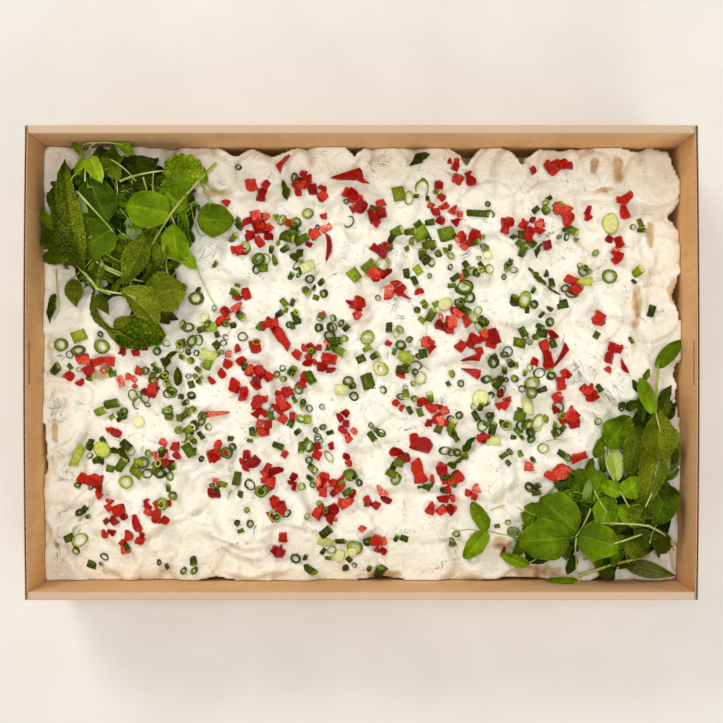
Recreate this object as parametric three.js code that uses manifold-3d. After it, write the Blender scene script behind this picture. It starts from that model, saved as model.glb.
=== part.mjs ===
// Potato salad for a party table, served in an open kraft board tray and dressed with two bunches of
// pea shoots and mint. Millimetres, +Z up, origin at the middle of the tray's underside, +X along its
// long side. The salad is one heap: coated potato slices under diced pepper and cut chives.

import * as THREE from 'three';
import { mergeVertices } from 'three/addons/utils/BufferGeometryUtils.js';
import Module from 'manifold-3d';

const wasm = await Module();
wasm.setup();

// The tray: one folded blank of corrugated board
const LENGTH = 360; // over the short walls, at the corners
const WIDTH = 254; // over the long walls
const HEIGHT = 80;
const BOARD = 1.5; // one layer of board
const LONG_WALL = 3 * BOARD; // outer panel, tucked corner flap and rolled-over inner panel
const BOW = 1; // how far a short wall bulges at mid-length
const LOCK_SLIT = { length: 24, height: 1.2, belowRim: 9 }; // where a lid's tab would go in
const FLOOR_SLOT = { length: 22, depth: 0.7, apart: 180 }; // ends of the tabs that hold the inner panels down
const CREASE = 0.8; // open joint between the boards at a corner
const GAP = 0.4; // kept between neighbouring pieces

// The filling
const FILL = 42; // usual height of the salad's surface above the table
const BED = 37; // what shows between the potato slices
const SLICE_EDGE = 5; // over which a slice rounds off at its rim
const SLICE_STAND = 1.2; // how far the outermost slices stand out of the dressing
const CELL = 12; // spacing of the facets on the heap
const HALF_LENGTH = LENGTH / 2 - BOARD; // inside the short walls, at the corners
const HALF_WIDTH = WIDTH / 2 - LONG_WALL; // inside the long walls

// Potato slices that stand out along the walls and in the lower left: x, y, radius, top, and how much
// each rises along x and along y
const EDGE_SLICES = [
  [-86, 106, 14, 42, 0, -0.2], [-57, 110, 12, 40, 0.1, -0.2], [-16, 107, 15, 42, -0.1, -0.25],
  [20, 108, 16, 42, 0, -0.15], [77, 103, 16, 42, 0, -0.3], [71, 86, 15, 44, 0.1, -0.1],
  [103, 86, 15, 44, -0.1, -0.1], [109, 109, 12, 41, 0, -0.1], [132, 109, 12, 41, 0.2, -0.1],
  [165, 102, 18, 42, -0.1, -0.2], [167, 65, 17, 42, -0.3, 0.1], [168, 27, 17, 41, -0.3, 0.1],
  [168, -8, 14, 40, -0.3, 0], [72, -60, 16, 44, 0, 0], [-98, -104, 20, 42, 0.1, 0.15],
  [-66, -110, 19, 41, -0.1, 0.2], [-120, -60, 18, 43, 0.1, 0], [-34, -104, 17, 42, 0, 0.15],
];

// Where the toppings gather: x, y, how many, how far they spread
const PEPPER_CLUMPS = [
  [-150, 2, 5, 8], [-135, 8, 2, 3], [-79, 27, 4, 6], [-67, 35, 4, 5], [-57, 99, 3, 5], [-58, 76, 13, 8],
  [-68, 63, 3, 4], [-70, 3, 4, 7], [-161, -8, 3, 4], [-120, -13, 4, 5], [-110, -48, 7, 8], [-80, -27, 4, 7],
  [-70, -15, 3, 4], [-81, -50, 4, 6], [-64, -54, 5, 5], [-152, -69, 4, 6], [-118, -80, 4, 5],
  [-139, -83, 6, 8], [-132, -102, 2, 3], [-58, -7, 6, 6], [-57, -24, 6, 6], [-35, 102, 6, 6],
  [-25, 95, 3, 5], [-8, 105, 5, 8],
  [-3, 91, 4, 5], [9, 85, 6, 6], [-18, 67, 5, 7], [-30, 71, 3, 4], [11, 63, 4, 5], [9, 52, 3, 5],
  [20, 43, 5, 5], [-4, 32, 5, 5], [-45, 15, 4, 6], [-31, 5, 6, 6], [-20, 0, 4, 5], [57, 107, 3, 6],
  [45, 87, 6, 7], [59, 70, 5, 5], [52, 26, 11, 8], [58, 47, 4, 4], [61, 7, 9, 8], [-44, -15, 4, 4],
  [-33, -10, 3, 4], [-43, -27, 5, 5], [-54, -35, 4, 5], [-10, -32, 3, 5], [-22, -48, 4, 5], [-52, -63, 5, 6],
  [-17, -68, 9, 7], [-9, -75, 4, 6], [-49, -81, 5, 5], [-17, -85, 4, 4], [8, -75, 4, 6], [42, -28, 7, 7],
  [34, -45, 8, 6], [31, -61, 9, 6], [48, -63, 6, 6], [45, -77, 7, 8], [62, -72, 3, 4], [-46, -105, 3, 4],
  [10, -101, 5, 5], [109, 110, 5, 5], [147, 89, 3, 4], [113, 84, 5, 5], [96, 78, 8, 6], [81, 78, 3, 3],
  [142, 62, 3, 4], [119, 47, 5, 6], [133, 24, 5, 4], [72, 16, 5, 5], [110, 0, 7, 7], [140, 3, 3, 7],
  [129, -16, 6, 5], [80, -20, 5, 4], [116, -31, 5, 5], [69, -44, 2, 3], [121, -52, 3, 3], [111, -64, 9, 6],
];
const CHIVE_CLUMPS = [
  [-165, 9, 3, 6], [-146, 9, 2, 4], [-173, -3, 3, 6], [-70, 74, 3, 5], [-92, 37, 3, 5], [-96, 18, 5, 7],
  [-82, 15, 5, 6], [-72, 26, 4, 6], [-93, 3, 4, 6], [-111, -8, 13, 10], [-125, -21, 5, 6], [-141, -26, 6, 7],
  [-104, -27, 5, 6], [-97, -36, 10, 9], [-85, -32, 4, 6], [-147, -49, 9, 8], [-160, -52, 3, 5],
  [-134, -49, 5, 6], [-121, -57, 6, 6], [-111, -60, 6, 7], [-95, -46, 3, 5], [-77, -49, 3, 5],
  [-67, -69, 3, 6], [-108, -75, 4, 6], [-159, -100, 4, 6], [-147, -112, 3, 6], [-40, 102, 2, 4],
  [-40, 78, 5, 6], [-50, 64, 5, 7], [-36, 59, 6, 6],
  [-26, 44, 6, 7], [-58, 53, 3, 4], [33, 75, 5, 8], [20, 72, 3, 5], [28, 50, 3, 6], [47, 68, 5, 8],
  [37, 60, 4, 5], [32, 115, 4, 4], [40, 97, 3, 5], [-13, 22, 5, 5], [-16, 12, 6, 7], [-40, 25, 6, 7],
  [4, 5, 3, 6], [39, 30, 6, 8], [20, 14, 5, 8], [28, 0, 6, 7], [60, 34, 6, 7], [58, 50, 6, 6],
  [-43, -7, 5, 6], [-34, -21, 5, 7], [-7, -14, 4, 6], [-36, -33, 4, 6], [-27, -44, 3, 4], [-28, -56, 3, 4],
  [24, -14, 4, 6], [52, -10, 3, 5], [49, -33, 5, 7], [53, -48, 6, 7], [24, -60, 8, 8], [36, -70, 5, 5],
  [49, -68, 5, 6], [-8, -68, 6, 7], [-30, -68, 3, 4], [-20, -82, 4, 6], [-56, -74, 3, 4], [-49, -87, 2, 2],
  [-17, -104, 7, 8], [3, -99, 2, 3], [-33, -112, 3, 6], [9, -116, 3, 5], [66, 86, 4, 6], [105, 89, 4, 5],
  [90, 70, 6, 7], [116, 72, 6, 6], [100, 46, 7, 7], [77, 54, 3, 7], [123, 50, 6, 6], [114, 38, 5, 6],
  [92, 35, 4, 5], [105, 29, 3, 6], [96, 15, 5, 6], [66, 22, 5, 7], [81, 2, 8, 7], [154, 49, 2, 4],
  [155, 77, 3, 3], [99, -8, 6, 8], [74, -12, 5, 6], [88, -35, 9, 8], [71, -34, 6, 6], [147, -23, 2, 2],
  [99, -71, 4, 5], [80, -92, 3, 5],
];
// Singles that lie between the clumps, and round places that stay bare: x, y, radius
const LOOSE_PEPPER = 26;
const LOOSE_CHIVES = 70;
const BARE = [
  [72, -60, 15], [-90, -104, 26], [165, 60, 30], [165, 0, 14], [165, 105, 25], [-165, -30, 14], [10, 112, 14],
  [75, 104, 16], [-60, 112, 8], [128, 104, 12], [80, -84, 12], [120, 6, 8], [-35, 45, 5],
];
// Ground that the two bunches cover, which holds no toppings: x, y, radius
const COVERED = [
  [-152, 92, 36], [-112, 86, 30], [-128, 54, 30], [-122, 28, 17], [-82, 80, 12], [-160, 39, 10],
  [150, -78, 34], [126, -88, 31], [100, -96, 15], [162, -36, 19], [158, -18, 10], [66, -84, 8],
  [63, -99, 9], [140, -42, 12], [152, -112, 24], [172, 5, 8],
];

// Each run gives the same heap: a small fixed rule draws the numbers between 0 and 1
let seed = 20;
function draw() {
  seed = (Math.imul(seed, 1664525) + 1013904223) >>> 0;
  return seed / 4294967296;
}

// A draw about 0, over a whole width
const spreadOver = (width) => width * (draw() - 0.5);

// 0 up to low, 1 from high on, and smooth between them
const blend = (low, high, value) => THREE.MathUtils.smoothstep(value, low, high);

// Slices under the dressing, laid in jittered rows, with the named ones on top
const SLICE_GRID = { columns: 14, rows: 10, pitchX: 26, pitchY: 25, jitter: 16 };
const SLICE_SIZE = { radius: 13, radiusMore: 4, topBelow: 2, topMore: 4, tilt: 0.3 };
function laySlices() {
  const { columns, rows, pitchX, pitchY, jitter } = SLICE_GRID;
  const laid = [];
  for (let row = 0; row < rows; row++) {
    for (let column = 0; column < columns; column++) {
      const x = (column - (columns - 1) / 2) * pitchX + spreadOver(jitter);
      const y = (row - (rows - 1) / 2) * pitchY + spreadOver(jitter);
      const radius = SLICE_SIZE.radius + SLICE_SIZE.radiusMore * draw();
      const top = FILL - SLICE_SIZE.topBelow + SLICE_SIZE.topMore * draw();
      laid.push([x, y, radius, top, spreadOver(SLICE_SIZE.tilt), spreadOver(SLICE_SIZE.tilt)]);
    }
  }
  return [...laid, ...EDGE_SLICES];
}
const slices = laySlices();

// Height of the heap: slices melted into each other by the dressing, softly folded, and lower by the walls.
// Towards the far long wall and the right short wall, less lies between the slices
const SLICE_REACH = 14; // past a slice's rim, where it no longer counts
const MELT = { least: 1, more: 1.5, from: 8, to: 34 }; // crisp by the walls, soft further in
const LONG_DIP = { depth: 5, from: 104, to: 120 };
const SHORT_DIP = { depth: 4, from: 160, to: 176 };
const WALL_DIP = { depth: 2.5, over: 9 };
const FOLD = 0.9; // height of the dressing's own waves
function relief(x, y) {
  const fromWall = Math.min(HALF_LENGTH - Math.abs(x), HALF_WIDTH - Math.abs(y));
  const melt = MELT.least + MELT.more * blend(MELT.from, MELT.to, fromWall);
  const longDip = LONG_DIP.depth * blend(LONG_DIP.from, LONG_DIP.to, y);
  const shortDip = SHORT_DIP.depth * blend(SHORT_DIP.from, SHORT_DIP.to, x);
  let sum = Math.exp((BED - longDip - shortDip - FILL) / melt);
  for (const [cx, cy, radius, top, riseX, riseY] of slices) {
    const away = Math.hypot(x - cx, y - cy);
    if (away > radius + SLICE_REACH) continue;
    const over = Math.max(0, away - radius + SLICE_EDGE);
    const height = top + riseX * (x - cx) + riseY * (y - cy) - over ** 2 / (2 * SLICE_EDGE);
    sum += Math.exp((height - FILL) / melt);
  }
  const wave = Math.sin(x / 8.5 + 1.8 * Math.sin(y / 19)) * Math.sin(y / 11 + 1.2 * Math.sin(x / 23));
  const wallDip = WALL_DIP.depth * (1 - blend(0, WALL_DIP.over, fromWall));
  return FILL + melt * Math.log(sum) + FOLD * wave - wallDip;
}

// Height of the faceted heap, which everything on it is seated on. Each cell is split in two, from its
// low left corner to its high right one
function faceted(x, y) {
  const left = Math.floor(x / CELL) * CELL;
  const low = Math.floor(y / CELL) * CELL;
  const u = (x - left) / CELL;
  const v = (y - low) / CELL;
  const start = relief(left, low);
  const end = relief(left + CELL, low + CELL);
  const corner = u > v ? relief(left + CELL, low) : relief(left, low + CELL);
  return start + (corner - start) * Math.max(u, v) + (end - corner) * Math.min(u, v);
}

const within = (x, y, circles) => circles.some(([cx, cy, r]) => Math.hypot(x - cx, y - cy) < r);

// Toppings fall into their clumps one by one. A piece that finds no free place lies on the others
const SIZES = { pepper: { least: 3.4, most: 6.6 }, chive: { least: 3.6, most: 8 } };
const CROWDING = 0.46; // share of two sizes that their middles keep apart
const TRIES = 7;
const STREWN = { length: 330, width: 224 }; // where singles fall
const EDGE_MARGIN = 4.5; // kept free of toppings along the walls
const placed = [];
function fall(kind, cx, cy, spread) {
  const { least, most } = SIZES[kind];
  const size = least + (most - least) * draw() ** 1.4;
  let x = cx;
  let y = cy;
  let free = false;
  for (let attempt = 0; attempt < TRIES && !free; attempt++) {
    const away = spread * Math.sqrt(draw());
    const way = 2 * Math.PI * draw();
    x = cx + away * Math.cos(way);
    y = cy + away * Math.sin(way);
    free = placed.every((other) => Math.hypot(other.x - x, other.y - y) > CROWDING * (other.size + size));
  }
  const piece = { kind, x, y, size, turn: Math.PI * draw(), lean: spreadOver(1), cut: draw(), free };
  const fromWall = Math.min(HALF_LENGTH - Math.abs(x), HALF_WIDTH - Math.abs(y));
  if (fromWall > EDGE_MARGIN && !within(x, y, COVERED)) placed.push(piece);
}

function strew(kind, clumps, loose) {
  for (const [x, y, count, spread] of clumps) {
    for (let i = 0; i < count; i++) fall(kind, x, y, spread);
  }
  for (let i = 0; i < loose; i++) {
    let x = 0;
    let y = 0;
    do {
      x = spreadOver(STREWN.length);
      y = spreadOver(STREWN.width);
    } while (within(x, y, BARE));
    fall(kind, x, y, 1);
  }
}
strew('pepper', PEPPER_CLUMPS, LOOSE_PEPPER);
strew('chive', CHIVE_CLUMPS, LOOSE_CHIVES);

// Closed solids from geometries, and a mesh from a closed solid
function solid(geometry) {
  const bare = geometry.clone();
  bare.deleteAttribute('normal');
  bare.deleteAttribute('uv');
  const merged = mergeVertices(bare);
  const vertProperties = new Float32Array(merged.attributes.position.array);
  const triVerts = new Uint32Array(merged.index.array);
  return new wasm.Manifold(new wasm.Mesh({ numProp: 3, vertProperties, triVerts }));
}

function mesh(name, whole, material) {
  const { vertProperties, triVerts } = whole.getMesh();
  const geometry = new THREE.BufferGeometry();
  geometry.setAttribute('position', new THREE.BufferAttribute(new Float32Array(vertProperties), 3));
  geometry.setIndex(new THREE.BufferAttribute(new Uint32Array(triVerts), 1));
  geometry.computeVertexNormals();
  const object = new THREE.Mesh(geometry, material);
  object.name = name;
  return object;
}

const largest = (whole) => whole.decompose().sort((a, b) => b.volume() - a.volume())[0];

// A sheet between two faces that are split into triangles alike, closed round its edge
function sheet(across, along, upper, lower) {
  const plane = new THREE.PlaneGeometry(1, 1, across, along);
  const uv = plane.attributes.uv;
  const count = uv.count;
  const positions = [];
  for (const face of [upper, lower]) {
    for (let i = 0; i < count; i++) positions.push(...face(uv.getX(i), uv.getY(i)).toArray());
  }
  const index = [];
  const faces = plane.index.array;
  for (let i = 0; i < faces.length; i += 3) {
    index.push(faces[i], faces[i + 1], faces[i + 2]);
    index.push(faces[i] + count, faces[i + 2] + count, faces[i + 1] + count);
  }
  const row = across + 1;
  const border = [];
  for (let i = 0; i < across; i++) border.push(i);
  for (let j = 0; j < along; j++) border.push(j * row + across);
  for (let i = across; i > 0; i--) border.push(along * row + i);
  for (let j = along; j > 0; j--) border.push(j * row);
  border.forEach((a, i) => {
    const b = border[(i + 1) % border.length];
    index.push(a, b, b + count, a, b + count, a + count);
  });
  const geometry = new THREE.BufferGeometry();
  geometry.setAttribute('position', new THREE.Float32BufferAttribute(positions, 3));
  geometry.setIndex(index);
  return solid(geometry);
}

// A prism on the tray's plan, whose short sides bulge
function prism(halfLength, halfWidth, low, high) {
  const plan = new THREE.Shape();
  plan.moveTo(-halfLength, -halfWidth);
  plan.lineTo(halfLength, -halfWidth);
  plan.quadraticCurveTo(halfLength + 2 * BOW, 0, halfLength, halfWidth);
  plan.lineTo(-halfLength, halfWidth);
  plan.quadraticCurveTo(-halfLength - 2 * BOW, 0, -halfLength, -halfWidth);
  const options = { depth: high - low, bevelEnabled: false, curveSegments: 8 };
  return solid(new THREE.ExtrudeGeometry(plan, options).translate(0, 0, low));
}

const block = (x, y, z, cx, cy, cz) => solid(new THREE.BoxGeometry(x, y, z).translate(cx, cy, cz));

function makeTray() {
  const cuts = [prism(HALF_LENGTH, HALF_WIDTH, BOARD, HEIGHT + 1)];
  const slitHeight = HEIGHT - LOCK_SLIT.belowRim;
  for (const side of [-1, 1]) {
    cuts.push(block(8, LOCK_SLIT.length, LOCK_SLIT.height, (side * LENGTH) / 2, 0, slitHeight));
    for (const end of [-1, 1]) {
      const cornerX = end * (HALF_LENGTH - CREASE / 2);
      const cornerY = side * (HALF_WIDTH + BOARD / 2);
      cuts.push(block(CREASE, BOARD, HEIGHT, cornerX, cornerY, BOARD + HEIGHT / 2));
      const slotX = (end * FLOOR_SLOT.apart) / 2;
      cuts.push(block(FLOOR_SLOT.length, BOARD, 2 * FLOOR_SLOT.depth, slotX, cornerY, 0));
    }
  }
  return prism(LENGTH / 2, WIDTH / 2, 0, HEIGHT).subtract(wasm.Manifold.union(cuts));
}

const inside = prism(HALF_LENGTH - GAP, HALF_WIDTH - GAP, BOARD + GAP, HEIGHT - 0.5);

// The heap's own surface as a thick slab of facets, raised by a given height
function heap(raise) {
  const columns = 2 * Math.ceil((HALF_LENGTH + BOW) / CELL);
  const rows = 2 * Math.ceil(HALF_WIDTH / CELL);
  const at = (u, v, z) => new THREE.Vector3((u - 0.5) * columns * CELL, (v - 0.5) * rows * CELL, z);
  const upper = (u, v) => {
    const point = at(u, v, 0);
    return point.setZ(relief(point.x, point.y) + raise);
  };
  return sheet(columns, rows, upper, (u, v) => at(u, v, -20));
}

// One topping, larger by grow all round: a pepper dice, or a ring or lying tube of chive. Its shares are
// of its own size, and it is sunk a little into the dressing
const DICE = { shortest: 0.8, longer: 0.5, width: 0.85, height: 0.75, raised: 0.1 };
const RING = { share: 0.55, outer: 0.5, inner: 0.3, depth: 2.6, sunk: 0.7 };
const TUBE = { radius: 0.3, raised: 0.12 };
const PILED = 0.4; // share of its size that a piece on others is raised by
const CHIVE_SIDES = 6;
function topping({ kind, x, y, size, turn, lean, cut, free }, grow) {
  const across = size + 2 * grow;
  const place = new THREE.Matrix4().makeTranslation(x, y, faceted(x, y) + (free ? 0 : PILED * size));
  const pose = new THREE.Euler(0.7 * lean, 0.5 * (cut - 0.5), turn);
  let shape;
  if (kind === 'pepper') {
    const long = across * (DICE.shortest + DICE.longer * cut);
    shape = new THREE.BoxGeometry(long, across * DICE.width, size * DICE.height + 2 * grow);
    shape.translate(0, 0, DICE.raised * size);
  } else if (cut < RING.share) {
    const [outer, inner, depth] = [RING.outer * across, RING.inner * size, RING.depth + 2 * grow];
    const half = depth / 2;
    const profile = [[0, 0], [outer, 0], [outer, depth], [inner, depth], [inner, half], [0, half]];
    shape = new THREE.LatheGeometry(profile.map(([r, z]) => new THREE.Vector2(r, z)), CHIVE_SIDES);
    shape.rotateX(Math.PI / 2).translate(0, 0, -RING.sunk - grow);
  } else {
    const radius = TUBE.radius * size + grow;
    shape = new THREE.CylinderGeometry(radius, radius, across, CHIVE_SIDES);
    shape.rotateZ(Math.PI / 2).translate(0, 0, TUBE.raised * size);
  }
  return solid(shape.applyMatrix4(place.multiply(new THREE.Matrix4().makeRotationFromEuler(pose))));
}

// The largest toppings are solid here, the finer ones belong to the finish
const LEAST_DICE = 6;
const LEAST_RING = 7.35;
const fused = placed.filter(({ kind, size }) => size > (kind === 'pepper' ? LEAST_DICE : LEAST_RING));

// One potato slice that stands out, tilted as it lies
const SLICE = { thick: 7, taper: 2.5, sides: 10 };
function slice([x, y, radius, top, riseX, riseY]) {
  const disc = new THREE.CylinderGeometry(radius - SLICE.taper, radius, SLICE.thick, SLICE.sides);
  const facing = new THREE.Vector3(-riseX, -riseY, 1).normalize();
  const tilt = new THREE.Quaternion().setFromUnitVectors(new THREE.Vector3(0, 0, 1), facing);
  const place = new THREE.Vector3(x, y, top + SLICE_STAND - SLICE.thick / 2);
  const pose = new THREE.Matrix4().compose(place, tilt, new THREE.Vector3(1, 1, 1));
  return solid(disc.rotateX(Math.PI / 2).applyMatrix4(pose));
}

function makeSalad() {
  const pieces = [...EDGE_SLICES.map(slice), ...fused.map((piece) => topping(piece, 0))];
  return largest(wasm.Manifold.union([heap(0), ...pieces]).intersect(inside));
}

// Half the width of a leaf at t, from its base at 0 to its tip at 1, as a share of its full width
const OUTLINES = {
  pea: (t) => 0.5 * Math.sin(Math.PI * t ** 0.85) ** 0.6,
  mint: (t) => 0.5 * Math.sin(Math.PI * t ** 0.75) ** 0.9,
};
const LEAF_THICKNESS = 1;
const LEAF_SINK = 2.6; // how deep the base of a leaf presses into what carries it
const LEAF_LIFT = 0.8; // how far the rest of it stands off
const LEAF_RISE = 2; // how far a tip stands up

const CUP = 0.08; // how far a leaf's edges curl up, as a share of its width
const RUFFLE = 0.05; // how far its edges wave

// The tangle of hidden leaves that carries a bunch, as lumps: centre, half sizes
function lump([centre, halves]) {
  const ball = new THREE.SphereGeometry(1, 10, 6).rotateX(Math.PI / 2).scale(...halves);
  return solid(ball.translate(...centre));
}

// What a leaf of a bunch lies on at x, y: the salad, or a lump of the tangle that it sinks into
function carrier(lumps, x, y, sink = 0) {
  let height = faceted(x, y) + 2 * GAP;
  for (const [centre, halves] of lumps) {
    const out = ((x - centre[0]) / halves[0]) ** 2 + ((y - centre[1]) / halves[1]) ** 2;
    if (out < 1) height = Math.max(height, centre[2] + halves[2] * Math.sqrt(1 - out) - sink);
  }
  return height;
}

// One leaf: kind, base, tip, width, roll about its midrib in degrees. It drapes over what is below it,
// and a height in its base or tip holds it up. Neighbours lie in three layers
function leaf([kind, base, tip, width, roll = 0], layer, lumps) {
  const rest = ([x, y, z = 0]) => new THREE.Vector3(x, y, Math.max(z, carrier(lumps, x, y, LEAF_SINK)));
  const ends = [rest(base), rest(tip)];
  const axis = ends[1].clone().sub(ends[0]);
  const along = axis.clone().normalize();
  const side = new THREE.Vector3(0, 0, 1).cross(along).normalize();
  side.applyAxisAngle(along, THREE.MathUtils.degToRad(roll));
  const up = along.clone().cross(side);
  const face = (thickness) => (u, v) => {
    const half = Math.max(0.5, width * OUTLINES[kind](v));
    const edge = 2 * u - 1;
    const ruffle = RUFFLE * Math.abs(edge) * Math.sin(7 * v + 3 * edge);
    const point = ends[0].clone().addScaledVector(axis, v).addScaledVector(side, -edge * half);
    point.addScaledVector(up, width * (CUP * edge * edge + ruffle));
    const free = blend(0, 0.3, v);
    const lift = LEAF_LIFT * (1 + layer) * free + LEAF_RISE * v * v;
    point.z = Math.max(point.z, carrier(lumps, point.x, point.y, LEAF_SINK * (1 - free)) + lift);
    return point.addScaledVector(up, thickness);
  };
  return sheet(2, 3, face(LEAF_THICKNESS), face(0));
}

// One stem or tendril along its points, which lies on what is below it or is held up at a height
const STEM_SIDES = 4;
function stem([thickness, ...points], lumps) {
  const lie = ([x, y, z = 0]) => {
    const least = carrier(lumps, x, y) + 0.3 * thickness;
    return new THREE.Vector3(x, y, Math.max(z, least));
  };
  const rooted = new THREE.Vector3(...points.at(-1));
  const path = new THREE.CatmullRomCurve3([...points.slice(0, -1).map(lie), rooted]);
  const rim = new THREE.EllipseCurve(0, 0, thickness / 2, thickness / 2).getPoints(STEM_SIDES).slice(1);
  const options = { steps: points.length + 1, bevelEnabled: false, extrudePath: path };
  return solid(new THREE.ExtrudeGeometry(new THREE.Shape(rim), options));
}

function makeBunch({ lumps, leaves, stems }, ground) {
  const grown = [
    ...lumps.map(lump),
    ...leaves.map((row, i) => leaf(row, i % 3, lumps)),
    ...stems.map((row) => stem(row, lumps)),
  ];
  return largest(wasm.Manifold.union(grown).intersect(inside).subtract(ground));
}

// Upper left: mint round the outside, pea leaves on top
const LEFT_BUNCH = {
  lumps: [
    [[-146, 82, 44], [30, 36, 20]], [[-113, 87, 44], [22, 24, 19]], [[-126, 48, 44], [24, 24, 11]],
  ],
  leaves: [
    ['mint', [-152, 50], [-163, 109, 66], 17, 30], ['mint', [-160, 62], [-176, 74], 12],
    ['mint', [-158, 60], [-177, 57], 10], ['pea', [-139, 78], [-153, 98], 22],
    ['pea', [-136, 74], [-154, 59], 24], ['pea', [-157, 78], [-157, 94], 8],
    ['pea', [-149, 111, 70], [-142, 99], 9], ['mint', [-137, 118, 77], [-124, 110, 60], 9],
    ['mint', [-112, 106], [-131, 112], 10], ['pea', [-106, 104], [-87, 104], 19],
    ['pea', [-110, 97], [-94, 88], 16], ['pea', [-104, 82], [-128, 86], 21],
    ['pea', [-89, 79], [-70, 78], 19], ['pea', [-102, 76], [-103, 56], 15],
    ['mint', [-117, 70], [-131, 42], 14, 15], ['mint', [-121, 38], [-97, 45], 22],
    ['mint', [-145, 41], [-113, 23], 13, 20], ['mint', [-147, 40], [-122, 13], 11],
    ['mint', [-125, 28], [-112, 7], 17], ['mint', [-158, 46], [-157, 31], 11],
  ],
  stems: [
    [1.9, [-80, 108, 64], [-88, 101, 67], [-98, 90, 67], [-105, 81, 67], [-112, 70, 62], [-117, 62, 50]],
    [1.3, [-155, 94, 58], [-146, 84, 67], [-137, 74, 66], [-133, 68, 54]],
    [1.6, [-156, 58, 48], [-148, 45, 50], [-144, 40, 51], [-130, 36, 48]],
    [1.3, [-133, 99, 56], [-121, 104, 60], [-110, 103, 54]],
    [1.3, [-146, 100, 56], [-151, 110, 70], [-152, 118, 77], [-143, 120, 79], [-136, 118, 77],
      [-128, 106, 50]],
    [1.3, [-88, 99, 62], [-84, 91, 56], [-87, 81], [-92, 79], [-104, 78, 50]],
    [1.3, [-158, 46], [-154, 52], [-148, 60, 50]],
  ],
};

// Lower right: pea leaves to the left of it, mint up the short wall
const RIGHT_BUNCH = {
  lumps: [
    [[148, -86, 43], [28, 26, 18]], [[160, -50, 43], [14, 28, 14]], [[113, -93, 42], [24, 15, 12]],
    [[127, -68, 42], [14, 10, 11]],
  ],
  leaves: [
    ['pea', [161, -3, 55], [174, 11, 60], 9], ['pea', [160, -27], [154, -10, 50], 9],
    ['mint', [168, -36], [167, -15, 54], 8], ['mint', [162, -54], [163, -27], 19, 10],
    ['mint', [162, -42], [154, -77], 16], ['pea', [134, -46], [147, -30], 17],
    ['mint', [152, -34], [145, -64], 14, 15], ['pea', [143, -72], [153, -62], 11],
    ['pea', [169, -62], [173, -44, 54], 9], ['pea', [160, -88], [169, -67], 18],
    ['pea', [115, -64], [136, -71], 18], ['pea', [119, -92], [98, -76], 23],
    ['pea', [114, -95], [86, -97], 23], ['pea', [118, -95], [141, -100], 21],
    ['pea', [119, -116, 54], [102, -120, 60], 7], ['pea', [128, -101], [136, -117], 10],
    ['mint', [147, -108], [173, -117], 9], ['pea', [141, -97], [157, -101], 11],
    ['pea', [71, -92.5], [61, -77], 10], ['pea', [71, -92.5], [57, -106], 11],
    ['mint', [91, -109], [77, -106], 7],
  ],
  stems: [
    [1.3, [162, -2, 55], [161, -18, 55], [161, -26, 54], [163, -38, 52]],
    [1.3, [134, -46, 50], [133, -54, 53], [137, -62, 56], [143, -71, 60], [146, -78, 54]],
    [1.3, [130, -87, 56], [144, -88, 63], [156, -88, 62], [166, -93, 58], [172, -99, 54], [158, -98, 50]],
    [1.9, [119, -115, 54], [126, -114, 54], [138, -109, 57], [149, -107, 57], [154, -98, 50]],
    [1.3, [118, -94, 56], [117, -104, 58], [118, -113, 56], [118, -117, 55]],
    [1.3, [125, -84, 54], [121, -90, 58], [117, -96, 54]],
    [1.3, [68, -92], [78, -94], [87, -95], [100, -94, 48]],
    [1.3, [90, -109], [96, -105], [106, -99, 46]],
  ],
};

// What the bunches lie on: the heap and the toppings near them, with the gap that neighbours keep
const near = (piece) => piece.x < -60 || piece.x > 50;
const ground = wasm.Manifold.union([heap(GAP), ...fused.filter(near).map((piece) => topping(piece, GAP))]);

const kraft = new THREE.MeshStandardMaterial({ color: '#c49462', roughness: 0.85, metalness: 0 });
const dressing = new THREE.MeshStandardMaterial({ color: '#e6d7bd', roughness: 0.35, metalness: 0 });
const greens = new THREE.MeshStandardMaterial({ color: '#58651a', roughness: 0.5, metalness: 0 });

const tray = new THREE.Group();
tray.add(mesh('catering_box', makeTray(), kraft));
tray.add(mesh('potato_salad', makeSalad(), dressing));
tray.add(mesh('herb_bunch_left', makeBunch(LEFT_BUNCH, ground), greens));
tray.add(mesh('herb_bunch_right', makeBunch(RIGHT_BUNCH, ground), greens));

export default tray;
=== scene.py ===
"""Potato salad in an open kraft board tray, with diced pepper, cut chives and two bunches of herbs.

The tray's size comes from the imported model. This script models the board, the dressed potato, every
topping and every leaf at its real size. Sizes are in millimetres, and a mesh turns to metres when it
is made."""

import math

import bpy
import numpy as np
from mathutils import Euler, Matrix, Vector


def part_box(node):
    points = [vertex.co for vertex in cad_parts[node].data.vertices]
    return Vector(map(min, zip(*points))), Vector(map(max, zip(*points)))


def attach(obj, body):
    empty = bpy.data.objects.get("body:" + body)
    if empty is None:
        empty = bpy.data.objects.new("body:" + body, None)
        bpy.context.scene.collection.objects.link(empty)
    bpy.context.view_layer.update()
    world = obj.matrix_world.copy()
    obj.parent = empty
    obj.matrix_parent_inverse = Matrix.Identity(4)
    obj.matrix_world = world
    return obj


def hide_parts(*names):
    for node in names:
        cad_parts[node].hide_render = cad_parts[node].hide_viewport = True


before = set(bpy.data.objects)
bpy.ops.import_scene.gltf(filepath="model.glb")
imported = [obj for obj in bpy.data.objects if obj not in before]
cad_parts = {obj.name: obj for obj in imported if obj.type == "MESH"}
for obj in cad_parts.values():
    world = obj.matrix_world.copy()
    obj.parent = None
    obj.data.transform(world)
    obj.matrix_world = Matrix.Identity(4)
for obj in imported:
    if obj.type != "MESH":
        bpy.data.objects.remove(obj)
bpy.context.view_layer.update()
bpy.ops.object.select_all(action="DESELECT")

MM = 0.001

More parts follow.
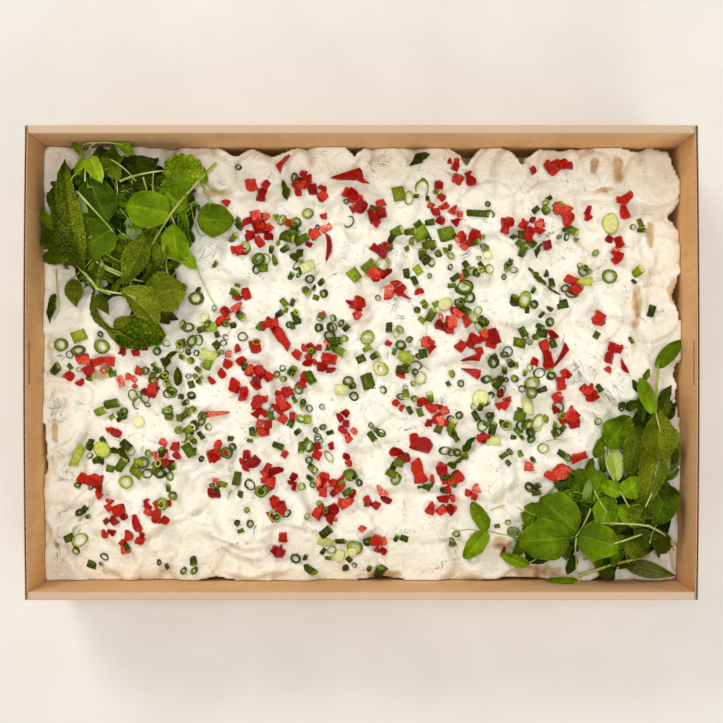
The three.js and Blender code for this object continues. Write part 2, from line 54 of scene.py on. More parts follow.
# The tray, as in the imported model
TRAY_LOW, TRAY_HIGH = (np.array(corner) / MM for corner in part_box("catering_box"))
HEIGHT = TRAY_HIGH[2]
BOW = 1.0  # how far a short wall bulges at mid-length
LENGTH = TRAY_HIGH[0] - TRAY_LOW[0] - 2 * BOW
WIDTH = TRAY_HIGH[1] - TRAY_LOW[1]
BOARD = 1.5  # thickness of the corrugated board
LINER = 0.3  # the board's smooth outer papers, either side of its flutes
FLUTE_PITCH = 3.2
LONG_WALL = 3 * BOARD  # a long wall is rolled from three layers of board
HALF_LENGTH = LENGTH / 2 - BOARD
HALF_WIDTH = WIDTH / 2 - LONG_WALL
SLIT = {"length": 24.0, "height": 3.0, "below_rim": 8.0}  # takes a lid's tab
FLOOR_ROUND, RIM_ROUND = 0.5, 0.8  # how far the folds of the floor and the long walls are rounded
# How far the floor ends short of the short walls' outer faces, and the long walls of their inner ones
FLOOR_INSET, WALL_INSET = 0.1, 0.15
# The waves of a short wall's middle paper: its thickness, how far it waves to each side, and how far below
# the rim the waves start and end and the plain middle layer starts
FLUTE = {"paper": 0.2, "swing": 0.32, "top": 0.15, "low": 1.7, "core": 1.6}
SLOT = {"length": 22.0, "depth": 0.7, "apart": 180.0}  # ends of the tabs that hold the long walls
GAP = 0.4  # between the food and the board

# The filling
FILL = 42.0  # its usual height
BED = 39.2  # height of what lies under the top slices
SLICE_EDGE = 3.4  # how far in a slice's edge begins to round off
SLICE_REACH = 10.0  # how far out from its edge a slice still counts
SLICE_ROWS, SLICE_COLUMNS = 10, 14
SLICE_STEP_X, SLICE_STEP_Y = 26, 25
SLICE_STRAY = 16  # width of the square in which a slice's middle falls
SLICE_TILT = 0.3  # width of the range of its rises
SMOOTH_SLICE = (72, -58)  # one whose coat shows almost no lumps

# Potato slices that stand out along the walls and in the lower left: x, y, radius, top, and how much
# each rises along x and along y
EDGE_SLICES = [
    (-86, 106, 14, 42, 0, -0.2), (-57, 110, 12, 40, 0.1, -0.2), (-16, 107, 15, 42, -0.1, -0.25),
    (20, 108, 16, 42, 0, -0.15), (77, 103, 16, 42, 0, -0.3), (71, 86, 15, 44, 0.1, -0.1),
    (103, 86, 15, 44, -0.1, -0.1), (109, 109, 12, 41, 0, -0.1), (132, 109, 12, 41, 0.2, -0.1),
    (165, 102, 18, 42, -0.1, -0.2), (167, 65, 17, 42, -0.3, 0.1), (168, 27, 17, 41, -0.3, 0.1),
    (168, -8, 14, 40, -0.3, 0), (72, -60, 16, 44, 0, 0), (-98, -104, 20, 42, 0.1, 0.15),
    (-66, -110, 19, 41, -0.1, 0.2), (-120, -60, 18, 43, 0.1, 0), (-34, -104, 17, 42, 0, 0.15),
]

# Where the toppings gather: x, y, how many, how far they spread
PEPPER_CLUMPS = [
    (-150, 2, 5, 8), (-135, 8, 2, 3), (-79, 27, 4, 6), (-67, 35, 4, 5), (-57, 99, 3, 5), (-58, 76, 13, 8),
    (-68, 63, 3, 4), (-70, 3, 4, 7), (-161, -8, 3, 4), (-120, -13, 4, 5), (-110, -48, 7, 8),
    (-80, -27, 4, 7), (-70, -15, 3, 4), (-81, -50, 4, 6), (-64, -54, 5, 5), (-152, -69, 4, 6),
    (-118, -80, 4, 5), (-139, -83, 6, 8), (-132, -102, 2, 3), (-58, -7, 6, 6), (-57, -24, 6, 6),
    (-35, 102, 6, 6), (-25, 95, 3, 5), (-8, 105, 5, 8), (-3, 91, 4, 5), (9, 85, 6, 6), (-18, 67, 5, 7),
    (-30, 71, 3, 4), (11, 63, 4, 5), (9, 52, 3, 5), (20, 43, 5, 5), (-4, 32, 5, 5), (-45, 15, 4, 6),
    (-31, 5, 6, 6), (-20, 0, 4, 5), (57, 107, 3, 6), (45, 87, 6, 7), (59, 70, 5, 5), (52, 26, 11, 8),
    (58, 47, 4, 4), (61, 7, 9, 8), (-44, -15, 4, 4), (-33, -10, 3, 4), (-43, -27, 5, 5), (-54, -35, 4, 5),
    (-10, -32, 3, 5), (-22, -48, 4, 5), (-52, -63, 5, 6), (-17, -68, 9, 7), (-9, -75, 4, 6),
    (-49, -81, 5, 5), (-17, -85, 4, 4), (8, -75, 4, 6), (42, -28, 7, 7), (34, -45, 8, 6), (31, -61, 9, 6),
    (48, -63, 6, 6), (45, -77, 7, 8), (62, -72, 3, 4), (-46, -105, 3, 4), (10, -101, 5, 5),
    (109, 110, 5, 5), (147, 89, 3, 4), (113, 84, 5, 5), (96, 78, 8, 6), (81, 78, 3, 3), (142, 62, 3, 4),
    (119, 47, 5, 6), (133, 24, 5, 4), (72, 16, 5, 5), (110, 0, 7, 7), (140, 3, 3, 7), (129, -16, 6, 5),
    (80, -20, 5, 4), (116, -31, 5, 5), (69, -44, 2, 3), (121, -52, 3, 3), (111, -64, 9, 6),
]
CHIVE_CLUMPS = [
    (-165, 9, 3, 6), (-146, 9, 2, 4), (-173, -3, 3, 6), (-70, 74, 3, 5), (-92, 37, 3, 5), (-96, 18, 5, 7),
    (-82, 15, 5, 6), (-72, 26, 4, 6), (-93, 3, 4, 6), (-111, -8, 13, 10), (-125, -21, 5, 6),
    (-141, -26, 6, 7), (-104, -27, 5, 6), (-97, -36, 10, 9), (-85, -32, 4, 6), (-147, -49, 9, 8),
    (-160, -52, 3, 5), (-134, -49, 5, 6), (-121, -57, 6, 6), (-111, -60, 6, 7), (-95, -46, 3, 5),
    (-77, -49, 3, 5), (-67, -69, 3, 6), (-108, -75, 4, 6), (-159, -100, 4, 6), (-147, -112, 3, 6),
    (-40, 102, 2, 4), (-40, 78, 5, 6), (-50, 64, 5, 7), (-36, 59, 6, 6), (-26, 44, 6, 7), (-58, 53, 3, 4),
    (33, 75, 5, 8), (20, 72, 3, 5), (28, 50, 3, 6), (47, 68, 5, 8), (37, 60, 4, 5), (32, 115, 4, 4),
    (40, 97, 3, 5), (-13, 22, 5, 5), (-16, 12, 6, 7), (-40, 25, 6, 7), (4, 5, 3, 6), (39, 30, 6, 8),
    (20, 14, 5, 8), (28, 0, 6, 7), (60, 34, 6, 7), (58, 50, 6, 6), (-43, -7, 5, 6), (-34, -21, 5, 7),
    (-7, -14, 4, 6), (-36, -33, 4, 6), (-27, -44, 3, 4), (-28, -56, 3, 4), (24, -14, 4, 6), (52, -10, 3, 5),
    (49, -33, 5, 7), (53, -48, 6, 7), (24, -60, 8, 8), (36, -70, 5, 5), (49, -68, 5, 6), (-8, -68, 6, 7),
    (-30, -68, 3, 4), (-20, -82, 4, 6), (-56, -74, 3, 4), (-49, -87, 2, 2), (-17, -104, 7, 8),
    (3, -99, 2, 3), (-33, -112, 3, 6), (9, -116, 3, 5), (66, 86, 4, 6), (105, 89, 4, 5), (90, 70, 6, 7),
    (116, 72, 6, 6), (100, 46, 7, 7), (77, 54, 3, 7), (123, 50, 6, 6), (114, 38, 5, 6), (92, 35, 4, 5),
    (105, 29, 3, 6), (96, 15, 5, 6), (66, 22, 5, 7), (81, 2, 8, 7), (154, 49, 2, 4), (155, 77, 3, 3),
    (99, -8, 6, 8), (74, -12, 5, 6), (88, -35, 9, 8), (71, -34, 6, 6), (147, -23, 2, 2), (99, -71, 4, 5),
    (80, -92, 3, 5),
]

# Smaller cuts that fill in between those: x, y, how many, how far they spread
PEPPER_BITS = [
    (112, -7, 5, 6), (112, -22, 4, 5), (37, -68, 4, 5), (-52, 23, 5, 5), (-127, -7, 4, 6), (-127, 8, 3, 5),
    (52, 113, 3, 3), (-82, -68, 3, 5), (-37, -68, 3, 5), (142, 68, 2, 4), (-7, -38, 3, 5), (-22, -83, 3, 4),
    (-127, -98, 3, 5), (22, -53, 3, 4), (37, 8, 3, 5), (22, -22, 2, 4), (-142, -38, 2, 4), (-7, 98, 2, 4),
    (-82, -7, 2, 4), (-37, 98, 2, 4), (127, 83, 2, 4), (-7, -53, 2, 3), (52, 83, 2, 4), (-112, -83, 2, 5),
    (-22, -68, 3, 5), (-142, -98, 2, 4),
]
CHIVE_BITS = [
    (-97, -7, 8, 7), (-112, 8, 5, 6), (-112, -7, 5, 6), (-97, -22, 5, 6), (-97, 8, 5, 6), (-97, -113, 3, 5),
    (7, -38, 4, 5), (-22, -38, 4, 6), (-142, -53, 4, 6), (67, 68, 4, 4), (-7, -113, 3, 4), (-37, 53, 3, 5),
    (112, -38, 4, 5), (82, 53, 4, 4), (67, -22, 4, 5), (82, -53, 3, 4), (-156, -83, 3, 4), (52, -53, 4, 5),
    (-142, -7, 2, 4), (112, -53, 3, 4), (-82, -68, 3, 4), (-156, -68, 2, 4), (-112, -113, 2, 3),
    (-82, 8, 3, 4), (52, -98, 3, 4), (82, -7, 4, 5), (97, -38, 4, 5), (-22, 25, 3, 5), (-67, -90, 3, 5),
    (22, -98, 2, 4), (-160, 0, 3, 5), (-70, 40, 3, 5), (30, -25, 4, 6), (-60, -40, 3, 5), (66, 55, 4, 5),
]

# Circles in which no cut lies loose, and those that the two bunches cover: x, y, radius
BARE = [
    (72, -60, 15), (-90, -104, 26), (165, 60, 30), (165, 0, 14), (165, 105, 25), (-165, -30, 14),
    (10, 112, 14), (75, 104, 16), (-60, 112, 8), (128, 104, 12), (80, -84, 12), (120, 6, 8), (-35, 45, 5),
]
COVERED = [
    (-152, 92, 36), (-112, 86, 30), (-128, 54, 30), (-122, 28, 17), (-82, 80, 12), (-160, 39, 10),
    (150, -78, 34), (126, -88, 31), (100, -96, 15), (162, -36, 19), (158, -18, 10), (66, -84, 8),
    (63, -99, 9), (140, -42, 12), (152, -112, 24), (172, 5, 8),
]

# How the cuts fall: kind, clumps, least and greatest size, and how many more lie loose
ROUNDS = [
    ("pepper", PEPPER_CLUMPS, (3.4, 6.6), 26), ("chive", CHIVE_CLUMPS, (3.6, 8.0), 70),
    ("pepper", PEPPER_BITS, (3.0, 5.4), 10), ("chive", CHIVE_BITS, (3.4, 6.0), 46),
]
LOOSE_LENGTH, LOOSE_WIDTH = 330, 224  # the loose cuts lie in this rectangle
CUT_MARGIN, HERB_MARGIN, STEM_MARGIN, DILL_MARGIN = 4.5, 3, 1.5, 1.5  # each stays so far off the walls
OWN_PLACE = 900  # the first seed of the toppings that have a place of their own

# The most striking toppings, each in its own place: shape, x, y, length, width, turn in degrees, ripeness
FEATURED = [
    ("sliver", -9.5, 105.5, 16, 6, 186, 0.7), ("sliver", 0.8, 103.2, 7.5, 3.6, -25, 0.6),
    ("sliver", -18.2, 65, 16, 5.5, 266, 0.3), ("slab", -19.7, 76.3, 6, 3.8, 25, 0.6),
    ("slab", -44.8, 14.8, 14, 6, -52, 0.25), ("sliver", -44, 114.3, 10, 4, 48, 0.8),
    ("slab", 134.2, 25.2, 9, 7.5, 70, 0.4), ("slab", 35, -45.4, 12, 8, -30, 0.6),
    ("slab", 31.3, -60.3, 13, 6.5, 105, 0.6), ("slab", 121.5, -51.9, 9, 6, 20, 0.7),
    ("slab", 113.1, -61.3, 10, 8, 10, 0.8), ("sliver", 112, 3, 14, 4, 235, 0.8),
    ("sliver", 60.9, 3, 11, 4.5, 190, 0.6), ("sliver", 60.5, -4, 11, 4.5, 158, 0.5),
    ("sliver", -80.3, -27.7, 13, 5, 5, 0.6), ("slab", -156, 2, 8, 5.5, 5, 0.7),
    ("slab", -149, 0.5, 7, 6, 20, 0.7), ("sliver", 147, -1, 8, 4, 110, 0.6),
    ("sliver", 24, 38, 9, 4, -30, 0.6), ("slab", 21.5, 42, 7, 6.5, 40, 0.4),
    ("tube", 65.1, 84.2, 12, 4, -4, 0.25), ("tube", 5, 54, 8, 8, 40, 0.45),
    ("flat", 20.7, 95.8, 8, 7, 100, 0.5), ("flat", 33.2, 73.4, 8.5, 7.5, 30, 0.55),
    ("flat", 48.2, 73.9, 9.5, 8, 15, 0.45), ("flat", -4.4, 50.1, 8, 7.5, 45, 0.6),
    ("flat", 3.3, -10, 10, 7.5, 105, 0.3), ("flat", -158.7, 15.7, 9, 6, 20, 0.6),
    ("tube", -30.6, 54.4, 8, 6, 25, 0.95), ("tube", -160.5, -51.9, 13, 5, 70, 0.75),
    ("tube", -86.4, 4.5, 9, 7, -20, 0.9), ("tube", 24.8, 3.5, 9, 6.5, -25, 0.7),
    ("tube", 93.5, -24.3, 9, 7, 85, 1.0), ("tube", -11.7, -14.6, 7, 6.5, 0, 0.95),
    ("tube", 73.8, -43.1, 7, 6, 10, 0.95), ("tube", 125, 46.5, 9, 5, -5, 0.8),
    ("disc", -126, -32.8, 7, 6.5, 20, 1.0), ("disc", 66.5, -19.3, 9.5, 9, 60, 0.85),
    ("disc", -145.6, -48.2, 10, 8, -40, 0.7), ("disc", 70.5, 61.5, 5.5, 5, 0, 0.95),
    ("disc", -12.5, -107.9, 8, 6, 60, 0.9), ("disc", -5.5, -105.6, 6.5, 5, 30, 0.9),
    ("disc", 139.7, 79.3, 11, 9, 95, 0.8), ("disc", -20.5, -100, 9, 6, 10, 0.8),
    ("disc", 47, 33.5, 9, 6.5, 15, 0.9), ("ring", -146.2, 9.7, 9, 9, 0, 0.35),
    ("ring", -169, 10.6, 8, 7, 0, 0.3), ("ring", -159.2, 7.6, 8, 5, 10, 0.2),
    ("ring", -88.9, 26.9, 7, 7, 0, 0.95), ("ring", -93.3, 37.2, 8.5, 8, 0, 0.2),
    ("ring", 139, 48.8, 8.5, 8, 0, 0.3), ("ring", 91.1, 35.9, 10, 7, 75, 0.45),
    ("ring", 57.3, 43.2, 11, 9, 0, 0.2), ("ring", -132.6, -66.4, 8, 7.5, 0, 0.5),
    ("ring", 95.8, -10.8, 8, 8, 0, 0.4), ("ring", 10.8, -2.9, 9.5, 7.5, -30, 0.75),
    ("ring", 3, 15, 8, 7, 30, 0.5), ("thin", 99.1, -33.3, 10, 8, 70, 0.6),
    ("thin", 102.3, -47.8, 6.5, 6, 0, 0.5), ("thin", -18.5, -52, 7, 4, 120, 0.5),
    ("thin", 33, -8, 8, 6, 60, 0.6), ("thin", 26.5, 93.5, 8, 5, 80, 0.5), ("thin", 34, 99, 11, 8, 75, 0.5),
    ("thin", -158.5, -99, 10, 7, 25, 0.5), ("thin", 12, 56, 8, 8, 0, 0.5),
    ("ring", -4, -103, 8.5, 8, 0, 0.5), ("shard", -43.5, 98, 12, 6, 100, 0.15),
    ("shard", 31, 115, 10, 7, 220, 0.1), ("shard", 34, 117.5, 9, 7, 10, 0.15),
    ("shard", 96, 50, 9, 4.5, 120, 0.2), ("shard", 100, 46, 9, 4, -30, 0.2),
    ("shard", 108, 41, 9, 2, -35, 0.25), ("shard", -36.6, 62.2, 9, 8, 30, 0.2),
    ("shard", -108, 2, 12, 8, 60, 0.1), ("shard", -104, -7, 11, 7, 90, 0.15),
    ("shard", 52, -55, 10, 6, 20, 0.2), ("shard", 36, -68, 10, 6, 200, 0.2),
    ("shard", 60.5, -46, 12, 6, 60, 0.15), ("shard", -137, -50, 12, 7, 160, 0.15),
    ("shard", 99.5, 63.5, 9, 4, 70, 0.2), ("shard", -17, 9, 8, 6, 200, 0.2),
]

# Slices whose edge still shows as a step under a thin coat: x, y, radius, step
STANDING = [
    (78.4, 109, 15.5, 1.5), (105, 88, 15, 1.3), (71, 87, 15.5, 1.3), (112, 112, 12.5, 1.3),
    (131, 110, 10, 1.2), (165, 104, 17, 1.4), (-59, 107, 12.5, 1.3), (-30, 110, 12, 1.0),
    (12, 110, 15, 1.2), (41, 110, 13, 1.0), (-86, 106, 13, 1.0), (168, 66, 15, 1.0), (163, 28, 16, 1.2),
    (-97, -104, 19, 0.7), (146, 76, 13, 0.8), (132, 26, 15, 0.9),
]

# Folds of dressing, each raised on the left of its line and fading away from it: rise, reach, line
FOLDS = [
    (4.2, 9, [(-126, -101), (-118, -95), (-113, -90), (-105, -88), (-97, -84), (-91, -79), (-84, -68)]),
    (3.8, 6, [(-90, -92), (-77, -100), (-67, -103), (-50, -101)]),
    (3.0, 5, [(-86, -99), (-73, -106), (-64, -108), (-51, -108)]),
    (2.6, 6, [(-80, -116), (-63, -120), (-52, -118), (-36, -115)]),
    (3.4, 8, [(-31, -91), (-14, -99), (-1, -98), (12, -88)]),
    (2.8, 9, [(117, 91), (130, 94), (149, 91), (178, 86)]),
    (2.6, 8, [(150, 0), (155, 26), (151, 48)]),
    (2.4, 7, [(-64, -93), (-46, -89), (-26, -92)]),
    (2.6, 8, [(50, -94), (64, -101), (80, -101), (92, -92)]),
    (2.2, 7, [(-69, 94), (-57, 100), (-46, 98), (-38, 90)]),
    (2.2, 8, [(93, -40), (78, -47), (62, -45)]),
    (2.2, 7, [(-122, -52), (-108, -60), (-96, -58), (-88, -50)]),
    (2.0, 7, [(-20, 12), (-6, 6), (8, 10), (18, 20)]),
    (2.0, 8, [(20, -62), (36, -70), (52, -68)]),
    (2.0, 8, [(66, 30), (82, 22), (100, 26)]),
    (2.2, 7, [(-86, 52), (-70, 46), (-56, 52)]),
]

# Valleys between the folds of dressing: width, depth, and the line that each follows
CREASES = [
    (3.5, 1.4, [(-125, -101), (-107, -90), (-92, -81), (-86, -67)]),
    (4.0, 1.6, [(-88, -76), (-82, -88), (-75, -96)]), (3.0, 1.8, [(-34, -74), (-29, -82), (-33, -94)]),
    (3.0, 2.0, [(-96, 96), (-80, 96), (-66, 92)]), (1.6, 1.8, [(-2, 119), (-3, 106)]),
    (1.6, 1.8, [(26, 120), (27, 104), (24, 97)]),
    (3.4, 1.8, [(-58, 101), (-30, 104), (0, 99), (26, 97), (48, 100)]),
    (3.0, 2.2, [(118, 97), (134, 99), (148, 96)]), (3.0, 2.0, [(153, 42), (155, 28), (152, 12)]),
    (3.2, 2.0, [(160, 84), (158, 68), (164, 52)]), (3.0, 1.6, [(142, 60), (152, 56), (158, 46)]),
    (2.6, 1.6, [(-20, 28), (-10, 22), (4, 24)]), (3.0, 1.6, [(-88, -6), (-74, -16), (-60, -18)]),
    (2.8, 1.6, [(-110, -62), (-113, -76), (-106, -88)]), (3.0, 1.6, [(52, -56), (62, -44), (80, -42)]),
    (2.6, 2.0, [(92, -74), (86, -78), (72, -78), (58, -70)]), (2.8, 1.6, [(18, -30), (2, -38), (-6, -52)]),
    (2.4, 1.6, [(62, -98), (78, -102), (92, -112)]), (2.8, 1.4, [(88, 20), (100, 8), (98, -8)]),
    (2.8, 1.5, [(-62, 20), (-52, 4), (-56, -10)]), (3.0, 1.6, [(30, 12), (44, 4), (50, -12)]),
    (2.6, 1.5, [(112, 24), (104, 34), (90, 46)]),
]

# Places where the dressing has slid off the potato: x, y, half length, half width, turn in degrees
POTATO_SHOWS = [
    (144.3, 111, 8.5, 3.2, 97), (137, 98, 6, 1.4, 5), (-81, 96.5, 10, 2.4, 5), (175, 42, 8, 3, 85),
    (79, -101, 7, 4, -20), (98, -117, 16, 3.5, 0), (154, 32, 11, 3, 85), (131, 112, 5, 2.4, 80),
    (10, -119, 12, 2, 0), (162, 74, 8, 2.5, 95), (-172, -38, 7, 2, 90), (-150, -6, 8, 2.5, -10),
]

# Where the food stays clear of a wall: its side, from, to, how far it stays off, depth
CLEARINGS = [
    ("far", -81, -62, 5, 30), ("far", -62, -38, 6, 30), ("far", -9, 1, 4, 28), ("far", 51, 67, 8, 30),
    ("far", 80, 101, 9, 30), ("far", 102, 124, 1.2, 20), ("far", 148, 161, 2, 24), ("far", 166, 184, 3, 28),
    ("right", 104, 132, 5, 30), ("right", 76, 90, 5, 30), ("right", 25, 50, 3, 26),
    ("right", -13, 1, 3.2, 26), ("right", -30, -8, 1.8, 22), ("near", -3, 24, 1.6, 20),
    ("near", 68, 108, 2, 20), ("near", 130, 142, 3, 20), ("near", -92, -72, 1.8, 20),
    ("left", -62, -34, 1.8, 20),
]

# The camera looks straight down. The frame's centre is a little off its axis
FRAME_WIDTH = 723  # pixels
FOCAL = 1310 / FRAME_WIDTH  # of the frame's width
CAMERA = (3.5, -12.5, 780.0)
AXIS = (368 / FRAME_WIDTH, 386 / FRAME_WIDTH)  # where the axis meets the frame, from its upper left
SENSOR = 36.0  # width of the film that the lens is reckoned for
SIGHT = 60.0  # height at which the places of leaves and stems are read


# Random draws and smooth steps

seed = 20


def draw():
    """The next of a fixed row of numbers between 0 and 1."""
    global seed
    seed = (seed * 1664525 + 1013904223) % 2**32
    return seed / 2**32


def spread_over(width):
    """A random distance from the middle of a width."""
    return width * (draw() - 0.5)


def around(cx, cy, spread):
    """A random place in a circle."""
    away = spread * math.sqrt(draw())
    way = 2 * math.pi * draw()
    return cx + away * math.cos(way), cy + away * math.sin(way)


def blend(low, high, value):
    """0 up to low, 1 from high on, and smooth between them."""
    t = np.clip((value - low) / (high - low), 0, 1)
    return t * t * (3 - 2 * t)


def lay_slices():
    """The slices of the heap in uneven rows, then those along the walls: x, y, radius, top and rises."""
    laid = []
    for row in range(SLICE_ROWS):
        for column in range(SLICE_COLUMNS):
            x = (column - (SLICE_COLUMNS - 1) / 2) * SLICE_STEP_X + spread_over(SLICE_STRAY)
            y = (row - (SLICE_ROWS - 1) / 2) * SLICE_STEP_Y + spread_over(SLICE_STRAY)
            radius = 13 + 4 * draw()
            top = FILL - 2 + 4 * draw()
            rise_x = spread_over(SLICE_TILT)
            laid.append((x, y, radius, top, rise_x, spread_over(SLICE_TILT)))
    return laid + EDGE_SLICES


slices = lay_slices()


def from_wall(x, y):
    """How far x, y is from the nearest wall."""
    return np.minimum(HALF_LENGTH - np.abs(x), HALF_WIDTH - np.abs(y))


def swell(x, y, size, number):
    """Soft random heights between -1 and 1, each bump about size across."""
    lattice = np.random.RandomState(number).uniform(-1, 1, (64, 64))
    u = (0.8 * np.asarray(x) - 0.6 * np.asarray(y)) / size
    v = (0.6 * np.asarray(x) + 0.8 * np.asarray(y)) / size
    i = np.floor(u).astype(int)
    j = np.floor(v).astype(int)
    across = blend(0, 1, u - i)
    along = blend(0, 1, v - j)
    i, j, i_next, j_next = i % 64, j % 64, (i + 1) % 64, (j + 1) % 64
    low = lattice[j, i] * (1 - across) + lattice[j, i_next] * across
    high = lattice[j_next, i] * (1 - across) + lattice[j_next, i_next] * across
    return low * (1 - along) + high * along


def relief(x, y):
    """Height of the heap: uneven slices under a coat that leaves narrow valleys between them."""
    melt = 0.45 + 0.65 * blend(8, 34, from_wall(x, y))
    bed = BED - 5 * blend(104, 120, y) - 4 * blend(160, 176, x)
    total = np.exp((bed - FILL) / melt)
    for i, (cx, cy, radius, top, rise_x, rise_y) in enumerate(slices):
        east, north = x - cx, y - cy
        way = np.arctan2(north, east)
        uneven = (1 + 0.06 * np.sin(2 * way + i) + 0.04 * np.sin(3 * way + 2.3 * i)
                  + 0.025 * np.sin(7 * way + i))
        away = np.hypot(east, north) * uneven
        over = np.maximum(0, away - radius + SLICE_EDGE)
        height = top + rise_x * east + rise_y * north - over**2 / (2 * SLICE_EDGE)
        total += np.where(away > radius + SLICE_REACH, 0, np.exp((height - FILL) / melt))
    wave = np.sin(x / 8.5 + 1.8 * np.sin(y / 19)) * np.sin(y / 11 + 1.2 * np.sin(x / 23))
    dip = 1.5 * (1 - blend(0, 9, HALF_WIDTH - np.abs(y))) - 2 * (1 - blend(0, 12, HALF_LENGTH - np.abs(x)))
    return FILL + melt * np.log(total) + 0.9 * wave - dip


def beside(x, y, line):
    """How far x, y is from a line of points, on which side (1 for its left), and how far along it."""
    nearest = np.full(np.shape(x), 1e9)
    side = np.ones(np.shape(x))
    place = np.zeros(np.shape(x))
    for i, ((ax, ay), (bx, by)) in enumerate(zip(line, line[1:])):
        long_x, long_y = bx - ax, by - ay
        along = np.clip(((x - ax) * long_x + (y - ay) * long_y) / (long_x**2 + long_y**2), 0, 1)
        away = np.hypot(x - ax - along * long_x, y - ay - along * long_y)
        closer = away < nearest
        left = np.where(long_x * (y - ay) - long_y * (x - ax) > 0, 1, -1)
        side = np.where(closer, left, side)
        place = np.where(closer, (i + along) / (len(line) - 1), place)
        nearest = np.minimum(nearest, away)
    return nearest, side, place


def fold(x, y, reach, line):
    """A fold of dressing: a soft step along its line that fades over its reach and at its ends."""
    away, side, place = beside(x, y, line)
    over = away * side
    ends = blend(0, 0.22, place) * blend(1, 0.78, place)
    return blend(-2.8, 0.9, over) * np.exp(-np.maximum(over - 0.9, 0) / reach) * ends


def clearing(x, y):
    """How deep the food falls away along the walls at x, y."""
    depth = np.zeros(np.shape(x))
    for side, start, end, reach, deepest in CLEARINGS:
        along = x if side in ("far", "near") else y
        off = {"far": HALF_WIDTH - y, "near": HALF_WIDTH + y,
               "right": HALF_LENGTH - x, "left": HALF_LENGTH + x}[side]
        inside = np.clip(1 - np.abs((2 * along - start - end) / (end - start)), 0, 1) ** 1.2
        shore = reach * inside * (1 + 0.35 * swell(x, y, 4.5, 3))
        depth = np.maximum(depth, deepest * blend(0.8, -0.8, off - shore) * (inside > 0))
    return depth


def lips(x, y, size, number):
    """Low curved steps where one fold of dressing lies on the next, each fading out along its length."""
    field = 1.7 * swell(x, y, size, number) + 0.25 * swell(x, y, 0.3 * size, number + 1)
    part = field % 1
    rise = np.where(part < 0.93, (part / 0.93) ** 1.5, (1 - part) / 0.07)
    return rise * blend(-0.25, 0.3, swell(x, y, 0.8 * size, number + 2))


def dressed(x, y):
    """Height of the dressed salad at x, y: the heap, the dressing's folds, small lumps and creases."""
    warp_x = x + 2.6 * swell(x, y, 14, 11) + 1.1 * swell(x, y, 5, 12)
    warp_y = y + 2.6 * swell(x, y, 13, 13) + 1.1 * swell(x, y, 5.5, 14)
    height = relief(warp_x, warp_y)
    smooth_x, smooth_y = SMOOTH_SLICE
    rough = blend(1, 7, from_wall(x, y)) * (1 - 0.75 * blend(17, 12, np.hypot(x - smooth_x, y - smooth_y)))
    for cx, cy, radius, step in STANDING:
        away = np.hypot(x - cx, y - cy) + 0.7 * swell(x, y, 9, 71)
        height += step * (blend(radius, radius - 1.3, away) - 0.5 * blend(radius + 10, radius, away))
        rough *= 1 - 0.5 * blend(radius, radius - 3, away)
    height += rough * (
        0.4 * np.abs(swell(warp_x, warp_y, 17, 15)) + 0.3 * np.abs(swell(warp_x, warp_y, 7, 16))
        + 1.5 * lips(warp_x, warp_y, 30, 51) + 0.8 * lips(x, y, 15, 61)
        + 0.22 * swell(x, y, 3.2, 17) + 0.14 * swell(x, y, 1.9, 18) - 0.9)
    for width, depth, line in CREASES:
        height -= 0.7 * depth * np.exp(-(beside(warp_x, warp_y, line)[0] / (0.6 * width)) ** 2)
    soft_x = x + 1.2 * swell(x, y, 9, 72)
    soft_y = y + 1.2 * swell(x, y, 9, 73)
    for rise, reach, line in FOLDS:
        height += rise * fold(soft_x, soft_y, reach, line)
    return height - clearing(x, y)


# The dressed surface is worked out once, on the grid that becomes its mesh
COLUMNS, ROWS = 356, 242
grid_u, grid_v = np.meshgrid(np.linspace(-1, 1, COLUMNS + 1), np.linspace(-1, 1, ROWS + 1))
grid_y = grid_v * (HALF_WIDTH - GAP)
grid_x = grid_u * (HALF_LENGTH + BOW * (1 - (grid_y / HALF_WIDTH) ** 2) - GAP)
surface = dressed(grid_x, grid_y)


def ground(x, y):
    """Height of the dressed surface at x, y."""
    u = np.clip((np.asarray(x) / (HALF_LENGTH - GAP) + 1) / 2, 0, 0.9999) * COLUMNS
    v = np.clip((np.asarray(y) / (HALF_WIDTH - GAP) + 1) / 2, 0, 0.9999) * ROWS
    i, j = u.astype(int), v.astype(int)
    low = surface[j, i] * (i + 1 - u) + surface[j, i + 1] * (u - i)
    high = surface[j + 1, i] * (i + 1 - u) + surface[j + 1, i + 1] * (u - i)
    return low * (j + 1 - v) + high * (v - j)


# Toppings fall into their clumps one by one

def within(x, y, circles):
    """Whether x, y lies in any of these circles."""
    return any(math.hypot(x - cx, y - cy) < radius for cx, cy, radius in circles)


placed = []


def fall(kind, cx, cy, spread, sizes):
    """Lets one cut fall near a place, clear of those that lie there where it finds room."""
    least, most = sizes
    size = least + (most - least) * draw() ** 1.4
    for _ in range(7):
        x, y = around(cx, cy, spread)
        free = all(math.hypot(o["x"] - x, o["y"] - y) > 0.46 * (o["size"] + size) for o in placed)
        if free:
            break
    turn = math.pi * draw()
    lean = draw() - 0.5
    piece = {"kind": kind, "x": x, "y": y, "size": size, "turn": turn, "lean": lean, "cut": draw(),
             "free": free}
    if from_wall(x, y) > CUT_MARGIN and not within(x, y, COVERED):
        placed.append(piece)


def strew(kind, clumps, sizes, loose):
    """Lets cuts of one kind fall in their clumps, then some loose ones anywhere but on the bare places."""
    for x, y, count, spread in clumps:
        for _ in range(count):
            fall(kind, x, y, spread, sizes)
    for _ in range(loose):
        x, y = spread_over(LOOSE_LENGTH), spread_over(LOOSE_WIDTH)
        while within(x, y, BARE):
            x, y = spread_over(LOOSE_LENGTH), spread_over(LOOSE_WIDTH)
        fall(kind, x, y, 1, sizes)


